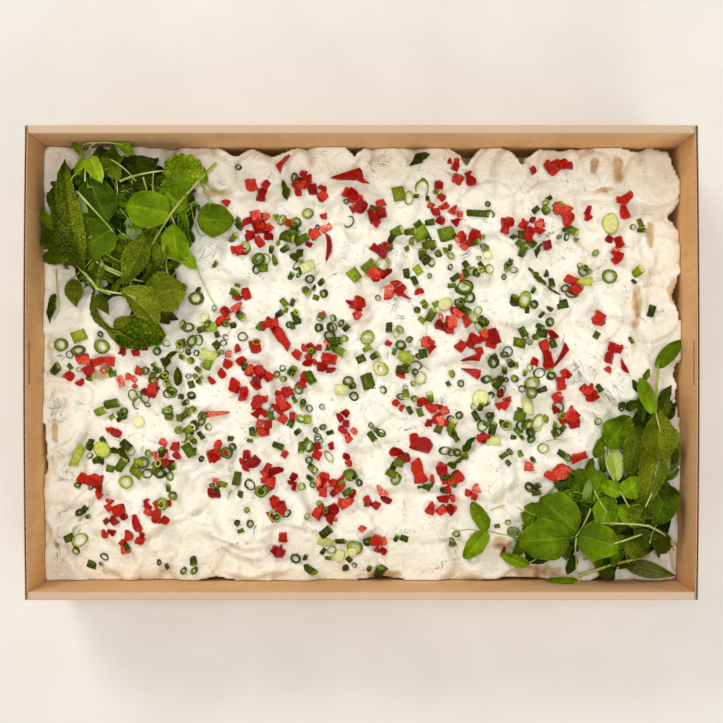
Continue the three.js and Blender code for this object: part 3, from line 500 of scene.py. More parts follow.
for kind, clumps, sizes, loose in ROUNDS:
    strew(kind, clumps, sizes, loose)
taken = [(x, y, 0.5 * max(length, width)) for _, x, y, length, width, _, _ in FEATURED]
strewn = [piece for piece in placed if not within(piece["x"], piece["y"], taken)]


# Meshes

def points_of(obj):
    """The places of a mesh's points, in its own units."""
    return np.array([vertex.co[:] for vertex in obj.data.vertices])


def place_points(obj, points):
    """Moves a mesh's points to places in millimetres."""
    obj.data.vertices.foreach_set("co", (points * MM).ravel())
    obj.data.update()


def store(obj, name, values):
    """Gives each point of a mesh a value that the material reads by its name."""
    obj.data.attributes.new(name, "FLOAT", "POINT").data.foreach_set("value", values)


def step_of(place, steps):
    """The number of the grid line at each place, on a grid that runs from -1 to 1 in so many steps."""
    return np.round((place + 1) / 2 * steps).astype(int)


def inside_walls(points, margin):
    """Points held inside the tray's walls by a margin."""
    points[:, 0] = np.clip(points[:, 0], -HALF_LENGTH + margin, HALF_LENGTH - margin)
    points[:, 1] = np.clip(points[:, 1], -HALF_WIDTH + margin, HALF_WIDTH - margin)
    return points


def activate(*objects):
    """Selects these objects alone, with the first of them active."""
    bpy.ops.object.select_all(action="DESELECT")
    for obj in objects:
        obj.select_set(True)
    bpy.context.view_layer.objects.active = objects[0]


def shown(obj, material):
    """Finishes a piece: its material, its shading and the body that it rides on."""
    obj.data.materials.clear()
    obj.data.materials.append(material)
    for polygon in obj.data.polygons:
        polygon.use_smooth = True
    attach(obj, "root")
    return obj


class Batch:
    """Many small things of one kind, joined in one mesh from arrays."""

    def __init__(self):
        self.points = []
        self.faces = []
        self.values = {}
        self.uvs = []
        self.count = 0

    def add(self, points, faces, uv=None, **values):
        """Adds one thing: its points and faces, and for each point a place on the UV map and values."""
        points = np.asarray(points, float)
        self.faces += [tuple(index + self.count for index in face) for face in faces]
        self.points.append(points)
        for name, value in values.items():
            self.values.setdefault(name, []).append(np.broadcast_to(value, len(points)))
        if uv is not None:
            self.uvs.append(uv)
        self.count += len(points)

    def mesh(self, name):
        """The object that all the things make together."""
        made = bpy.data.meshes.new(name)
        made.from_pydata((np.concatenate(self.points) * MM).tolist(), [], self.faces)
        obj = bpy.data.objects.new(name, made)
        for key, values in self.values.items():
            store(obj, key, np.concatenate(values))
        if self.uvs:
            corner = np.zeros(len(made.loops), int)
            made.loops.foreach_get("vertex_index", corner)
            layer = made.uv_layers.new(name="UVMap")
            layer.data.foreach_set("uv", np.concatenate(self.uvs)[corner].ravel())
        bpy.context.collection.objects.link(obj)
        return obj


def taken_model():
    """The arrays of the active object, in its own units. The object itself is removed."""
    obj = bpy.context.object
    if obj.mode != "OBJECT":
        bpy.ops.object.mode_set(mode="OBJECT")
    points = points_of(obj)
    faces = [tuple(polygon.vertices) for polygon in obj.data.polygons]
    mesh = obj.data
    bpy.data.objects.remove(obj)
    bpy.data.meshes.remove(mesh)
    return points, faces


def edit_all():
    """Goes to edit mode with the whole mesh selected."""
    bpy.ops.object.mode_set(mode="EDIT")
    bpy.ops.mesh.select_all(action="SELECT")


def face_outwards():
    """Turns all faces of the mesh in edit mode outwards and leaves edit mode."""
    bpy.ops.mesh.select_all(action="SELECT")
    bpy.ops.mesh.normals_make_consistent(inside=False)
    bpy.ops.object.mode_set(mode="OBJECT")


def pick_faces(test):
    """Selects the faces of the object in edit mode whose centre and normal pass a test."""
    bpy.ops.mesh.select_mode(type="FACE")
    bpy.ops.mesh.select_all(action="DESELECT")
    bpy.ops.object.mode_set(mode="OBJECT")
    for polygon in bpy.context.object.data.polygons:
        polygon.select = test(polygon.center, polygon.normal)
    bpy.ops.object.mode_set(mode="EDIT")


# Materials

def linear(hex_colour):
    """An sRGB hex colour as linear red, green, blue and alpha."""
    parts = [int(hex_colour[i:i + 2], 16) / 255 for i in (1, 3, 5)]
    return [c / 12.92 if c <= 0.04045 else ((c + 0.055) / 1.055) ** 2.4 for c in parts] + [1.0]


def add(tree, kind, inputs=(), stops=(), **settings):
    """Adds a shader node, or goes on with one: its settings, a ramp's stops, its inputs and its links."""
    made = tree.nodes.new(kind) if isinstance(kind, str) else kind
    for name, value in settings.items():
        setattr(made, name, value)
    if stops:
        elements = made.color_ramp.elements
        while len(elements) < len(stops):
            elements.new(0.5)
        for element, (place, colour) in zip(elements, stops):
            element.position = place
            element.color = linear(colour)
    for name, value in dict(inputs).items():
        socket = made.inputs[name]
        if isinstance(value, bpy.types.NodeSocket):
            tree.links.new(value, socket)
        elif isinstance(value, str):
            socket.default_value = linear(value)
        else:
            socket.default_value = value
    return made


def new_material(name):
    """A new material, its node tree, its shader, and the socket that gives places on the object."""
    made = bpy.data.materials.new(name)
    made.use_nodes = True
    tree = made.node_tree
    return made, tree, tree.nodes["Principled BSDF"], add(tree, "ShaderNodeTexCoord").outputs["Object"]


def per_mm(millimetres):
    """A texture's scale, for a pattern that repeats over a real size."""
    return 1 / (millimetres * MM)


def stored(tree, name):
    """The value of this name that each point of the mesh was given."""
    return add(tree, "ShaderNodeAttribute", attribute_name=name).outputs["Fac"]


def noise(tree, place, across, detail, roughness=0.5, distortion=0.0):
    """Soft noise whose largest marks are so many millimetres across."""
    return add(tree, "ShaderNodeTexNoise", {
        "Vector": place, "Scale": per_mm(across), "Detail": detail, "Roughness": roughness,
        "Distortion": distortion}).outputs["Fac"]


def ramp(tree, value, stops):
    """A value turned into colours."""
    return add(tree, "ShaderNodeValToRGB", {"Fac": value}, stops).outputs["Color"]


def mix(tree, share, first, second, data_type="RGBA", **settings):
    """Two colours or values mixed, with this share of the second."""
    return add(tree, "ShaderNodeMix", {"Factor": share, "A": first, "B": second},
               data_type=data_type, **settings).outputs["Result"]


def calc(tree, operation, *values, **settings):
    """A value worked out from others, by one operation."""
    return add(tree, "ShaderNodeMath", dict(enumerate(values)), operation=operation, **settings).outputs[0]


def remap(tree, value, low, high, new_low, new_high, **settings):
    """A value between low and high, moved to the same place between two others."""
    return add(tree, "ShaderNodeMapRange", {
        "Value": value, "From Min": low, "From Max": high, "To Min": new_low, "To Max": new_high},
        **settings).outputs["Result"]


def bump(tree, height, strength, depth, under=None, **settings):
    """A surface whose relief is up to so many millimetres deep, over another relief if there is one."""
    inputs = {"Height": height, "Strength": strength, "Distance": depth * MM}
    if under is not None:
        inputs["Normal"] = under
    return add(tree, "ShaderNodeBump", inputs, **settings).outputs["Normal"]


def mottled(name, across, detail, stops, inputs):
    """A material whose colour drifts over its surface."""
    made, tree, shader, place = new_material(name)
    add(tree, shader, {"Base Color": ramp(tree, noise(tree, place, across, detail), stops), **inputs})
    return made


def kraft_linerboard():
    """Uncoated brown kraft paper on corrugated board: matt, with long fibres, a faint print of the
    flutes under it, and paler paper at the rim's top and the bottom edge, partly where a fold has stretched
    it and partly painted light, for the rim's top catching more light than the walls."""
    made, tree, shader, place = new_material("kraft_linerboard")
    upright = add(tree, "ShaderNodeMapping", {"Vector": place, "Scale": (1.0, 1.0, 0.12)}).outputs["Vector"]
    streaks = noise(tree, upright, 5.0, 4.0, 0.6)
    fibres = noise(tree, place, 1.6, 5.0, 0.7)
    grain = mix(tree, 0.7, streaks, fibres, data_type="FLOAT")
    paper = ramp(tree, grain, [(0.34, "#d9aa73"), (0.5, "#e7b881"), (0.66, "#f0c894")])
    patch = ramp(tree, noise(tree, place, 45, 3.0), [(0.35, "#efe2d4"), (0.65, "#ffffff")])
    tinted = mix(tree, 0.8, paper, patch, blend_type="MULTIPLY")
    # Painted light, in part: the stored fold value makes the rim's top paler, for the light it catches more
    # than the walls, as well as for the stretch of its fold. The fibres make it patchy.
    worn = calc(tree, "MULTIPLY_ADD", fibres, 0.5, 0.72)
    share = calc(tree, "MULTIPLY", stored(tree, "fold"), worn, use_clamp=True)
    colour = mix(tree, share, tinted, "#c0a68d")
    flutes = add(tree, "ShaderNodeTexWave", {
        "Vector": place, "Scale": per_mm(FLUTE_PITCH) / 20, "Distortion": 0.4, "Detail": 1.0},
        bands_direction="X").outputs["Fac"]
    rough = bump(tree, fibres, 0.3, 0.15)
    print_through = bump(tree, flutes, 0.15, 0.2, rough)
    add(tree, shader, {
        "Base Color": colour, "Normal": print_through, "Roughness": 0.85, "Specular IOR Level": 0.25})
    return made


def corrugated_fluting_painted_shade():
    """The wavy middle paper of the board, seen in its cut edge and through the lock slits: its dark colour is
    painted shade, for the shadow in each flute and in the slits.
    """
    return mottled("corrugated_fluting_painted_shade", 1.2, 4.0, [(0.35, "#4a3019"), (0.7, "#7f5c38")],
                   {"Roughness": 0.9, "Specular IOR Level": 0.2})


def mayonnaise_dressing():
    """Mayonnaise and sour cream over boiled potato: an ivory emulsion that light sinks into, satin wet,
    with painted beige shade in its creases and hollows and painted shade in the gaps along the walls,
    potato showing through, and wisps and specks of chopped dill in it."""
    made, tree, shader, place = new_material("mayonnaise_dressing")
    cloudy = noise(tree, place, 13, 6.0, 0.62)
    grain = noise(tree, place, 1.7, 5.0, 0.65)
    clotted = mix(tree, 0.42, cloudy, grain, data_type="FLOAT")
    cream = ramp(tree, clotted, [(0.36, "#ece6d5"), (0.5, "#f2eee1"), (0.62, "#f3f1e6")])
    # Painted shade: the stored crease value tints the cream beige in the hollows and creases of the surface,
    # and in the gaps along the walls.
    crease_shaded_cream = mix(tree, stored(tree, "painted_crease_shade"), cream, "#d8ccb0")
    potato = ramp(tree, noise(tree, place, 4, 5.0), [(0.35, "#a9834a"), (0.65, "#d8b57c")])
    # The potato colour shows where the dressing has slid off, and it also paints the shade in the gaps along
    # the walls.
    mixed = mix(tree, stored(tree, "bare"), crease_shaded_cream, potato)
    swirl = noise(tree, place, 7, 2.0, distortion=0.8)
    off_middle = calc(tree, "ABSOLUTE", calc(tree, "SUBTRACT", swirl, 0.5))
    hair = remap(tree, off_middle, 0.0, 0.014, 1.0, 0.0)
    present = remap(tree, noise(tree, place, 10, 2.0), 0.51, 0.62, 0.0, 0.7)
    wisps = calc(tree, "MULTIPLY", hair, present)
    cells = add(tree, "ShaderNodeTexVoronoi", {"Vector": place, "Scale": per_mm(3.1), "Randomness": 1.0})
    lot = add(tree, "ShaderNodeSeparateColor", {"Color": cells.outputs["Color"]}).outputs
    reach = calc(tree, "MULTIPLY", lot["Green"], 0.19)
    inside = calc(tree, "LESS_THAN", cells.outputs["Distance"], reach)
    chosen = calc(tree, "LESS_THAN", lot["Red"], 0.4)
    specks = calc(tree, "MULTIPLY", calc(tree, "MULTIPLY", inside, chosen), 0.45)
    colour = mix(tree, calc(tree, "MAXIMUM", specks, wisps), mixed, "#767c62")
    add(tree, shader, {
        "Base Color": colour, "Normal": bump(tree, grain, 1.0, 0.75),
        "Roughness": remap(tree, cloudy, 0.0, 1.0, 0.26, 0.5), "IOR": 1.46, "Subsurface Weight": 0.35,
        "Subsurface Radius": (1.0, 0.92, 0.75), "Subsurface Scale": 0.9 * MM})
    return made


def cut_vegetable(name, across, detail, roughness, patchy, stops, relief_depth, inputs):
    """The wet flesh of a raw vegetable: a colour for each point's stored tone, mottled and a little
    uneven. The relief's strength comes first, then its depth."""
    made, tree, shader, place = new_material(name)
    grain = noise(tree, place, across, detail, roughness)
    mottle = calc(tree, "MULTIPLY_ADD", grain, patchy, -0.5 * patchy)
    tone = calc(tree, "ADD", stored(tree, "tone"), mottle)
    add(tree, shader, {
        "Base Color": ramp(tree, tone, stops), "Normal": bump(tree, grain, *relief_depth), **inputs})
    return made


def red_capsicum():
    """Raw red pepper, diced: watery flesh, orange red at its cut faces, mottled, with a dark skin, and
    painted wet glints in pale pink where the mottle runs low.
    """
    # The palest stops are painted highlights: wet glints where the mottle takes the tone below that of the
    # flesh.
    reds_and_painted_glints = [(0.0, "#f0ac96"), (0.1, "#da624b"), (0.3, "#c02d1a"), (0.55, "#a1140a"), (0.78, "#7d0703"),
            (1.0, "#560202")]
    return cut_vegetable("red_capsicum", 1.6, 5.0, 0.7, 0.9, reds_and_painted_glints, (0.6, 0.5),
                         {"Roughness": 0.16, "IOR": 1.36, "Specular IOR Level": 0.16})


def chive_tube():
    """Chive and spring onion, cut across: a waxy dark green outside, paler wet cut rims and inside."""
    greens = [(0.0, "#1e2801"), (0.2, "#384603"), (0.42, "#586b09"), (0.62, "#889a1e"), (0.82, "#b9c150"),
              (1.0, "#dedca2")]
    return cut_vegetable("chive_and_spring_onion", 1.5, 4.0, 0.5, 0.5, greens, (0.4, 0.2),
                         {"Roughness": 0.3, "IOR": 1.4, "Specular IOR Level": 0.2})


def leaf_blade(name, greens, kind, vein_width, vein_tone, pebble, patchy):
    """A leaf's two faces: veins that branch from the midrib on its UV map, a mottled blade pebbled
    between them with painted shade in the valleys between its cushions, and a grey bloom where its underside
    is turned up."""
    made, tree, shader, place = new_material(name)
    pairs, slant = VEINS[kind]
    flat = add(tree, "ShaderNodeUVMap", uv_map="UVMap").outputs["UV"]
    split = add(tree, "ShaderNodeSeparateXYZ", {"Vector": flat}).outputs
    side = calc(tree, "ABSOLUTE", calc(tree, "MULTIPLY_ADD", split["X"], 2.0, -1.0))
    run = calc(tree, "MULTIPLY_ADD", split["Y"], pairs, calc(tree, "MULTIPLY", side, -slant))
    lateral = remap(tree, calc(tree, "PINGPONG", run, 0.5), 0.0, vein_width, 0.65, 0.0)
    midrib = remap(tree, side, 0.02, 0.09, 1.0, 0.0)
    vein = calc(tree, "MULTIPLY_ADD", midrib, 0.13, calc(tree, "MULTIPLY", lateral, vein_tone))
    cells = add(tree, "ShaderNodeTexVoronoi", {"Vector": place, "Scale": per_mm(pebble)},
                feature="DISTANCE_TO_EDGE").outputs["Distance"]
    cushion = remap(tree, cells, 0.0, 0.11, 0.0, 1.0, interpolation_type="SMOOTHSTEP")
    grain = noise(tree, place, 2.4, 5.0, 0.65)
    mottle = calc(tree, "MULTIPLY_ADD", grain, patchy, -0.5 * patchy)
    raised = calc(tree, "MULTIPLY", cushion, stored(tree, "quilt"))
    # Painted shade: the cushions are lighter and the valleys between them darker in colour, on top of the
    # mottle.
    pebble_shade_and_mottle = calc(tree, "MULTIPLY_ADD", raised, 0.14, mottle)
    tone = calc(tree, "ADD", stored(tree, "tone"), calc(tree, "ADD", vein, pebble_shade_and_mottle))
    colour = mix(tree, stored(tree, "bloom"), ramp(tree, tone, greens), "#8a9768")
    quilt = bump(tree, raised, 0.9, 0.6)
    crumple = bump(tree, grain, 0.5, 0.7, quilt)
    ribs = bump(tree, lateral, 0.7, 0.3, crumple, invert=True)
    add(tree, shader, {
        "Base Color": colour, "Normal": ribs, "Roughness": 0.42, "IOR": 1.4, "Specular IOR Level": 0.06})
    return made


def pea_stem():
    """Pea shoot stems and tendrils: pale, watery green, smooth, nearly see-through at their thinnest."""
    return mottled("pea_shoot_stem", 9, 3.0, [(0.3, "#7f8c2e"), (0.5, "#a2ab54"), (0.7, "#c4c887")], {
        "Roughness": 0.4, "IOR": 1.4, "Subsurface Weight": 0.2, "Subsurface Radius": (1.0, 1.0, 0.4),
        "Subsurface Scale": 0.8 * MM})


def dill_frond():
    """Chopped dill, thin as hair and half covered by the dressing, which leaves it a dull grey green."""
    return mottled("dill_frond", 5, 3.0, [(0.35, "#6f7760"), (0.55, "#a3a58d"), (0.72, "#c9c6ae")],
                   {"Roughness": 0.5})


def plain_floor():
    """A plain pale floor, matt."""
    return mottled("plain_floor", 60, 3.0, [(0.3, "#d8d5d0"), (0.7, "#dfdcd8")], {"Roughness": 0.9})


# How many pairs of veins a leaf has, and how far each slants towards the tip
VEINS = {"pea": (6.0, 1.6), "mint": (8.0, 2.2), "shard": (6.0, 1.6)}

FLOOR = plain_floor()
KRAFT = kraft_linerboard()
FLUTING = corrugated_fluting_painted_shade()
DRESSING = mayonnaise_dressing()
CAPSICUM = red_capsicum()
CHIVE = chive_tube()
PEA_GREENS = [(0.0, "#1d2800"), (0.18, "#334402"), (0.42, "#546904"), (0.66, "#738f08"), (0.86, "#9ab223"),
              (1.0, "#c5d074")]
MINT_GREENS = [(0.0, "#242c02"), (0.18, "#3a4605"), (0.42, "#59650c"), (0.66, "#7b8719"), (0.86, "#a3ad40"),
               (1.0, "#c9ce86")]
PEA_LEAF = leaf_blade("pea_shoot_leaf", PEA_GREENS, "pea", 0.1, 0.07, 2.6, 0.32)
MINT_LEAF = leaf_blade("mint_leaf", MINT_GREENS, "mint", 0.16, 0.08, 1.8, 0.5)
STEM = pea_stem()
DILL = dill_frond()


# The dressed potato

def blurred(sheet, reach):
    """A sheet of heights, each the mean of those around it."""
    for axis in (0, 1):
        edges = [(reach + 1, reach) if a == axis else (0, 0) for a in (0, 1)]
        total = np.cumsum(np.pad(sheet, edges, mode="edge"), axis=axis)
        span = 2 * reach + 1
        sheet = (np.take(total, range(span, total.shape[axis]), axis)
                 - np.take(total, range(total.shape[axis] - span), axis)) / span
    return sheet


def model_dressed_potato():
    """The whole heap under its dressing, down to the tray's floor."""
    bpy.ops.mesh.primitive_grid_add(x_subdivisions=COLUMNS, y_subdivisions=ROWS, size=2)
    obj = bpy.context.object
    obj.name = "dressed_potato"
    flat = points_of(obj)
    i, j = step_of(flat[:, 0], COLUMNS), step_of(flat[:, 1], ROWS)
    # Painted shade for the dressing's colour: how far each point lies below its neighbours, at two scales,
    # and how deep the food falls away from a wall.
    hollow = np.clip((blurred(surface, 2) - surface) / 0.6, 0, 1)
    hollow = 0.5 * hollow + 0.1 * np.clip((blurred(surface, 8) - surface) / 3.5, 0, 1)
    bare = np.zeros(surface.shape)
    for cx, cy, half_length, half_width, turn in POTATO_SHOWS:
        c, s = math.cos(math.radians(turn)), math.sin(math.radians(turn))
        u = ((grid_x - cx) * c + (grid_y - cy) * s) / half_length
        v = ((grid_y - cy) * c - (grid_x - cx) * s) / half_width
        ragged = u**2 + v**2 + 0.6 * swell(grid_x, grid_y, 3.5, 21)
        bare = np.maximum(bare, 0.85 * blend(1.3, 0.5, ragged))
    # Painted shade in the gaps along the walls: where the food falls away from a wall, the crease tint and
    # the potato colour darken the dressing. The potato that shows through elsewhere is its own colour.
    deep = blend(2, 8, clearing(grid_x, grid_y))
    store(obj, "painted_crease_shade", np.clip(np.maximum(hollow, deep), 0, 1)[j, i])
    store(obj, "bare", np.maximum(bare, 0.7 * deep)[j, i])
    place_points(obj, np.stack([grid_x[j, i], grid_y[j, i], surface[j, i]], 1))
    bpy.ops.object.mode_set(mode="EDIT")
    bpy.ops.mesh.select_mode(type="EDGE")
    bpy.ops.mesh.select_all(action="DESELECT")
    bpy.ops.mesh.select_non_manifold()
    bpy.ops.mesh.extrude_edges_move()
    bpy.ops.transform.resize(value=(1, 1, 0), center_override=(0, 0, (BOARD + GAP) * MM))
    bpy.ops.mesh.edge_face_add()
    face_outwards()
    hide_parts("potato_salad")
    return shown(obj, DRESSING)


# Toppings

def model_dice():
    """A dice of pepper: six cut faces, each in nine parts that can bulge, with worn edges and corners."""
    bpy.ops.mesh.primitive_cube_add(size=1)
    edit_all()
    bpy.ops.mesh.subdivide(number_cuts=2)
    points, faces = taken_model()
    outer = np.sum(np.abs(points) > 0.45, axis=1)
    return points * np.array([1, 1, 0.95, 0.87])[outer][:, None], faces


def model_ring(inner, sides):
    """A ring cut across a hollow leaf: outer radius 0.5, height 1."""
    bpy.ops.mesh.primitive_cylinder_add(vertices=sides, radius=0.5, depth=1)
    edit_all()
    pick_faces(lambda centre, normal: abs(normal.z) > 0.9)
    bpy.ops.mesh.inset(thickness=0.5 - inner)
    bpy.ops.mesh.bridge_edge_loops()
    return taken_model()


def model_flat():
    """A leaf tube that has split open: a thin, slightly curled square."""
    bpy.ops.mesh.primitive_grid_add(x_subdivisions=3, y_subdivisions=2, size=1)
    edit_all()
    bpy.ops.mesh.extrude_region_move(TRANSFORM_OT_translate={"value": (0, 0, 0.12)})
    face_outwards()
    points, faces = taken_model()
    points[:, 2] += 0.5 * (0.25 - points[:, 0] ** 2)
    return points, faces


def model_disc():
    """A slice through the pale heart of a spring onion: a plump disc with a dimple."""
    bpy.ops.mesh.primitive_cylinder_add(vertices=14, radius=0.5, depth=1)
    edit_all()
    pick_faces(lambda centre, normal: abs(normal.z) > 0.9)
    bpy.ops.mesh.inset(thickness=0.12)
    bpy.ops.transform.resize(value=(1, 1, 1.25))
    bpy.ops.mesh.inset(thickness=0.2)
    bpy.ops.transform.resize(value=(1, 1, 0.85))
    return taken_model()


DICE = model_dice()
THICK_RING = model_ring(0.31, 14)
THIN_RING = model_ring(0.4, 16)
TUBE = model_ring(0.38, 10)
FLAT = model_flat()
DISC = model_disc()
CHIVE_SHARES = {"thin ring": 0.2, "thick ring": 0.52, "tube": 0.84}  # up to each, and then split tubes


def slope_at(x, y):
    """How the dressed surface leans at x, y, as a turn from level."""
    step = 2.5
    rise_x = float(ground(x + step, y) - ground(x - step, y)) / (2 * step)
    rise_y = float(ground(x, y + step) - ground(x, y - step)) / (2 * step)
    facing = Vector((-np.clip(rise_x, -0.8, 0.8), -np.clip(rise_y, -0.8, 0.8), 1)).normalized()
    return np.array(Vector((0, 0, 1)).rotation_difference(facing).to_matrix())


def seated(points, x, y, lift, turn, lean=0.0, roll=0.0):
    """Points of a topping, turned, leaned and set on the dressing at x, y."""
    own = np.array(Euler((lean, roll, turn)).to_matrix())
    return points @ (slope_at(x, y) @ own).T + np.array([x, y, float(ground(x, y)) + lift])


def skewed(points, amount, number):
    """Points whose box has its eight corners pulled about, so that no two cuts are alike."""
    pulls = np.random.RandomState(number).uniform(-amount, amount, (2, 2, 2, 3))
    moved = points.copy()
    share = np.clip(points + 0.5, 0, 1)
    for corner in np.ndindex(2, 2, 2):
        weight = np.prod(np.where(corner, share, 1 - share), axis=1)
        moved += weight[:, None] * pulls[corner]
    return moved


def add_dice(batch, x, y, size, turn, lean, cut, lift, number, long=None, wide=None, taper=0.0):
    """One dice, slab or sliver of pepper, its skin side up or down."""
    points, faces = DICE
    chance = np.random.RandomState(number)
    shape = skewed(points, 0.21, number)
    length = long or size * (0.84 + 0.52 * cut)
    width = wide or 0.9 * size
    height = min(0.75 * size, 0.5 * width + 1.1)
    narrow = np.maximum(0.12, 1 - taper * (shape[:, 0] + 0.5))
    shape = shape * [length, width, height]
    shape[:, 1] *= narrow
    shape[:, 2] *= 0.5 + 0.5 * narrow
    shape[:, 1] += 0.08 * length * (4 * points[:, 0] ** 2) * chance.uniform(-1, 1)
    skin_up = 1 if chance.rand() < 0.55 else -1
    skin = np.clip(skin_up * points[:, 2] + 0.5, 0, 1)
    tone = 0.26 + 0.3 * skin + 0.34 * chance.uniform(-0.5, 0.8)
    shape = shape * chance.uniform(0.93, 1.07, shape.shape) + chance.uniform(-0.16, 0.16, shape.shape)
    waists = chance.uniform(0.76, 1.24, 4) if long else chance.uniform(0.9, 1.1, 4)
    shape[:, 1] *= waists[np.round(3 * (points[:, 0] + 0.5)).astype(int).clip(0, 3)]
    batch.add(seated(shape, x, y, lift + 0.3 * height, turn, 0.7 * lean, 0.5 * (cut - 0.5)), faces, tone=tone)


def add_green(batch, model, x, y, scale, turn, lean, lift, tone, number, inner=0.0, rims=0.24):
    """One piece of chive or spring onion. Its cut rims and its inside are paler than its skin."""
    points, faces = model
    shape = skewed(points, 0.09, number) * scale
    from_axis = np.hypot(points[:, 0], points[:, 1])
    pale = rims * (np.abs(points[:, 2]) > 0.45) * (from_axis < 0.47) + 0.22 * (from_axis < inner)
    batch.add(seated(shape, x, y, lift, turn, lean), faces, tone=tone + pale)


def model_pepper():
    """All the pepper: dice that have fallen into their clumps, then the slabs and slivers."""
    batch = Batch()
    for i, piece in enumerate(p for p in strewn if p["kind"] == "pepper"):
        lift = 0 if piece["free"] else 0.4 * piece["size"]
        add_dice(batch, piece["x"], piece["y"], piece["size"], piece["turn"], piece["lean"], piece["cut"],
                 lift, i, taper=0.6 if i % 4 == 0 else 0.0)
    tapers = {"sliver": 0.85, "slab": 0.25}
    for i, (shape, x, y, length, width, turn, _) in enumerate(FEATURED):
        if shape in tapers:
            add_dice(batch, x, y, width, math.radians(turn), 0.1, 0.5, 0.4, OWN_PLACE + i, long=length,
                     wide=width, taper=tapers[shape])
    obj = shown(batch.mesh("red_pepper"), CAPSICUM)
    activate(obj)
    bpy.ops.object.shade_smooth_by_angle(angle=math.radians(30))
    return obj


def model_chives():
    """All the chive and spring onion: thin and thick rings, tubes and split tubes, then the odd ones."""
    batch = Batch()
    chance = np.random.RandomState(5)
    for i, piece in enumerate(p for p in strewn if p["kind"] == "chive"):
        x, y, size, cut = piece["x"], piece["y"], 0.93 * piece["size"], piece["cut"]
        lift = 0 if piece["free"] else 0.4 * size
        turn, lean = piece["turn"], piece["lean"]
        tone = 0.1 + 0.5 * chance.rand() ** 1.6
        oval = 0.68 + 0.32 * chance.rand()
        if cut < CHIVE_SHARES["thin ring"]:
            scale = (size, size * oval, 1.4 + 1.6 * cut)
            add_green(batch, THIN_RING, x, y, scale, turn, 1.2 * lean, lift + 0.6, tone - 0.04, i, inner=0.45,
                      rims=0.08)
        elif cut < CHIVE_SHARES["thick ring"]:
            scale = (0.95 * size, 0.95 * size * oval, 2.5)
            add_green(batch, THICK_RING, x, y, scale, turn, 1.3 * lean, lift + 0.8, tone - 0.06, i, inner=0.4,
                      rims=0.1)
        elif cut < CHIVE_SHARES["tube"]:
            scale = (0.7 * size, (0.3 + 0.2 * oval) * size, (0.7 + 0.45 * oval) * size)
            add_green(batch, TUBE, x, y, scale, turn, 1.02 + 0.7 * lean, lift + 0.25 * size, tone, i,
                      inner=0.4)
        else:
            scale = (0.9 * size, 0.72 * size, 0.6 * size)
            add_green(batch, FLAT, x, y, scale, turn, 0.6 * lean, lift + 0.3, tone + 0.08, i, rims=0)
    models = {"ring": (THICK_RING, 0.4, 2.6), "thin": (THIN_RING, 0.45, 1.5), "disc": (DISC, 0.0, 2.2),
              "flat": (FLAT, 0.0, 4.2)}
    for i, (shape, x, y, length, width, turn, ripe) in enumerate(FEATURED):
        if shape in models:
            model, inner, height = models[shape]
            add_green(batch, model, x, y, (length, width, height), math.radians(turn), 0.12, 0.9, ripe,
                      OWN_PLACE + i, inner=inner, rims=0.12 if shape != "flat" else 0)
        elif shape == "tube":
            add_green(batch, TUBE, x, y, (width, 0.7 * width, length), math.radians(turn) + math.pi / 2,
                      math.pi / 2, 0.3 * width, ripe, OWN_PLACE + i, inner=0.4)
    return shown(batch.mesh("cut_chives"), CHIVE)


# Leaves and stems

def sighted(x, y, z):
    """Where a point at height z stands that is seen at x, y on the plane of sight."""
    share = (CAMERA[2] - z) / (CAMERA[2] - SIGHT)
    return CAMERA[0] + (x - CAMERA[0]) * share, CAMERA[1] + (y - CAMERA[1]) * share


# A leaf's outline: how far its widest part lies towards the base, and how pointed its ends are
OUTLINES = {"pea": (0.85, 0.6), "mint": (0.75, 0.9), "shard": (0.75, 0.9)}
MINT_TEETH = 12
GRIDS = {"pea": (14, 22), "mint": (14, 48), "shard": (6, 12)}  # faces across and along
QUILT = {"pea": 0.2, "mint": 0.6, "shard": 0.3}  # how deeply a leaf is pebbled
LEAF_THICKNESS = 0.35
LEAF_BED = 0.6  # how far the lowest leaves lie above the dressing
CORE_INSET = 2  # how far a bunch's core lies inside its lumps
CORE_VOXEL = 1.6


def carried(lumps, x, y):
    """What a leaf lies on at x, y: the salad, or the tangle's lumps."""
    height = ground(x, y) + LEAF_BED
    for (cx, cy, cz), (hx, hy, hz) in lumps:
        out = ((x - cx) / hx) ** 2 + ((y - cy) / hy) ** 2
        height = np.maximum(height, np.where(out < 1, cz + hz * np.sqrt(np.maximum(0, 1 - out)), 0))
    return height


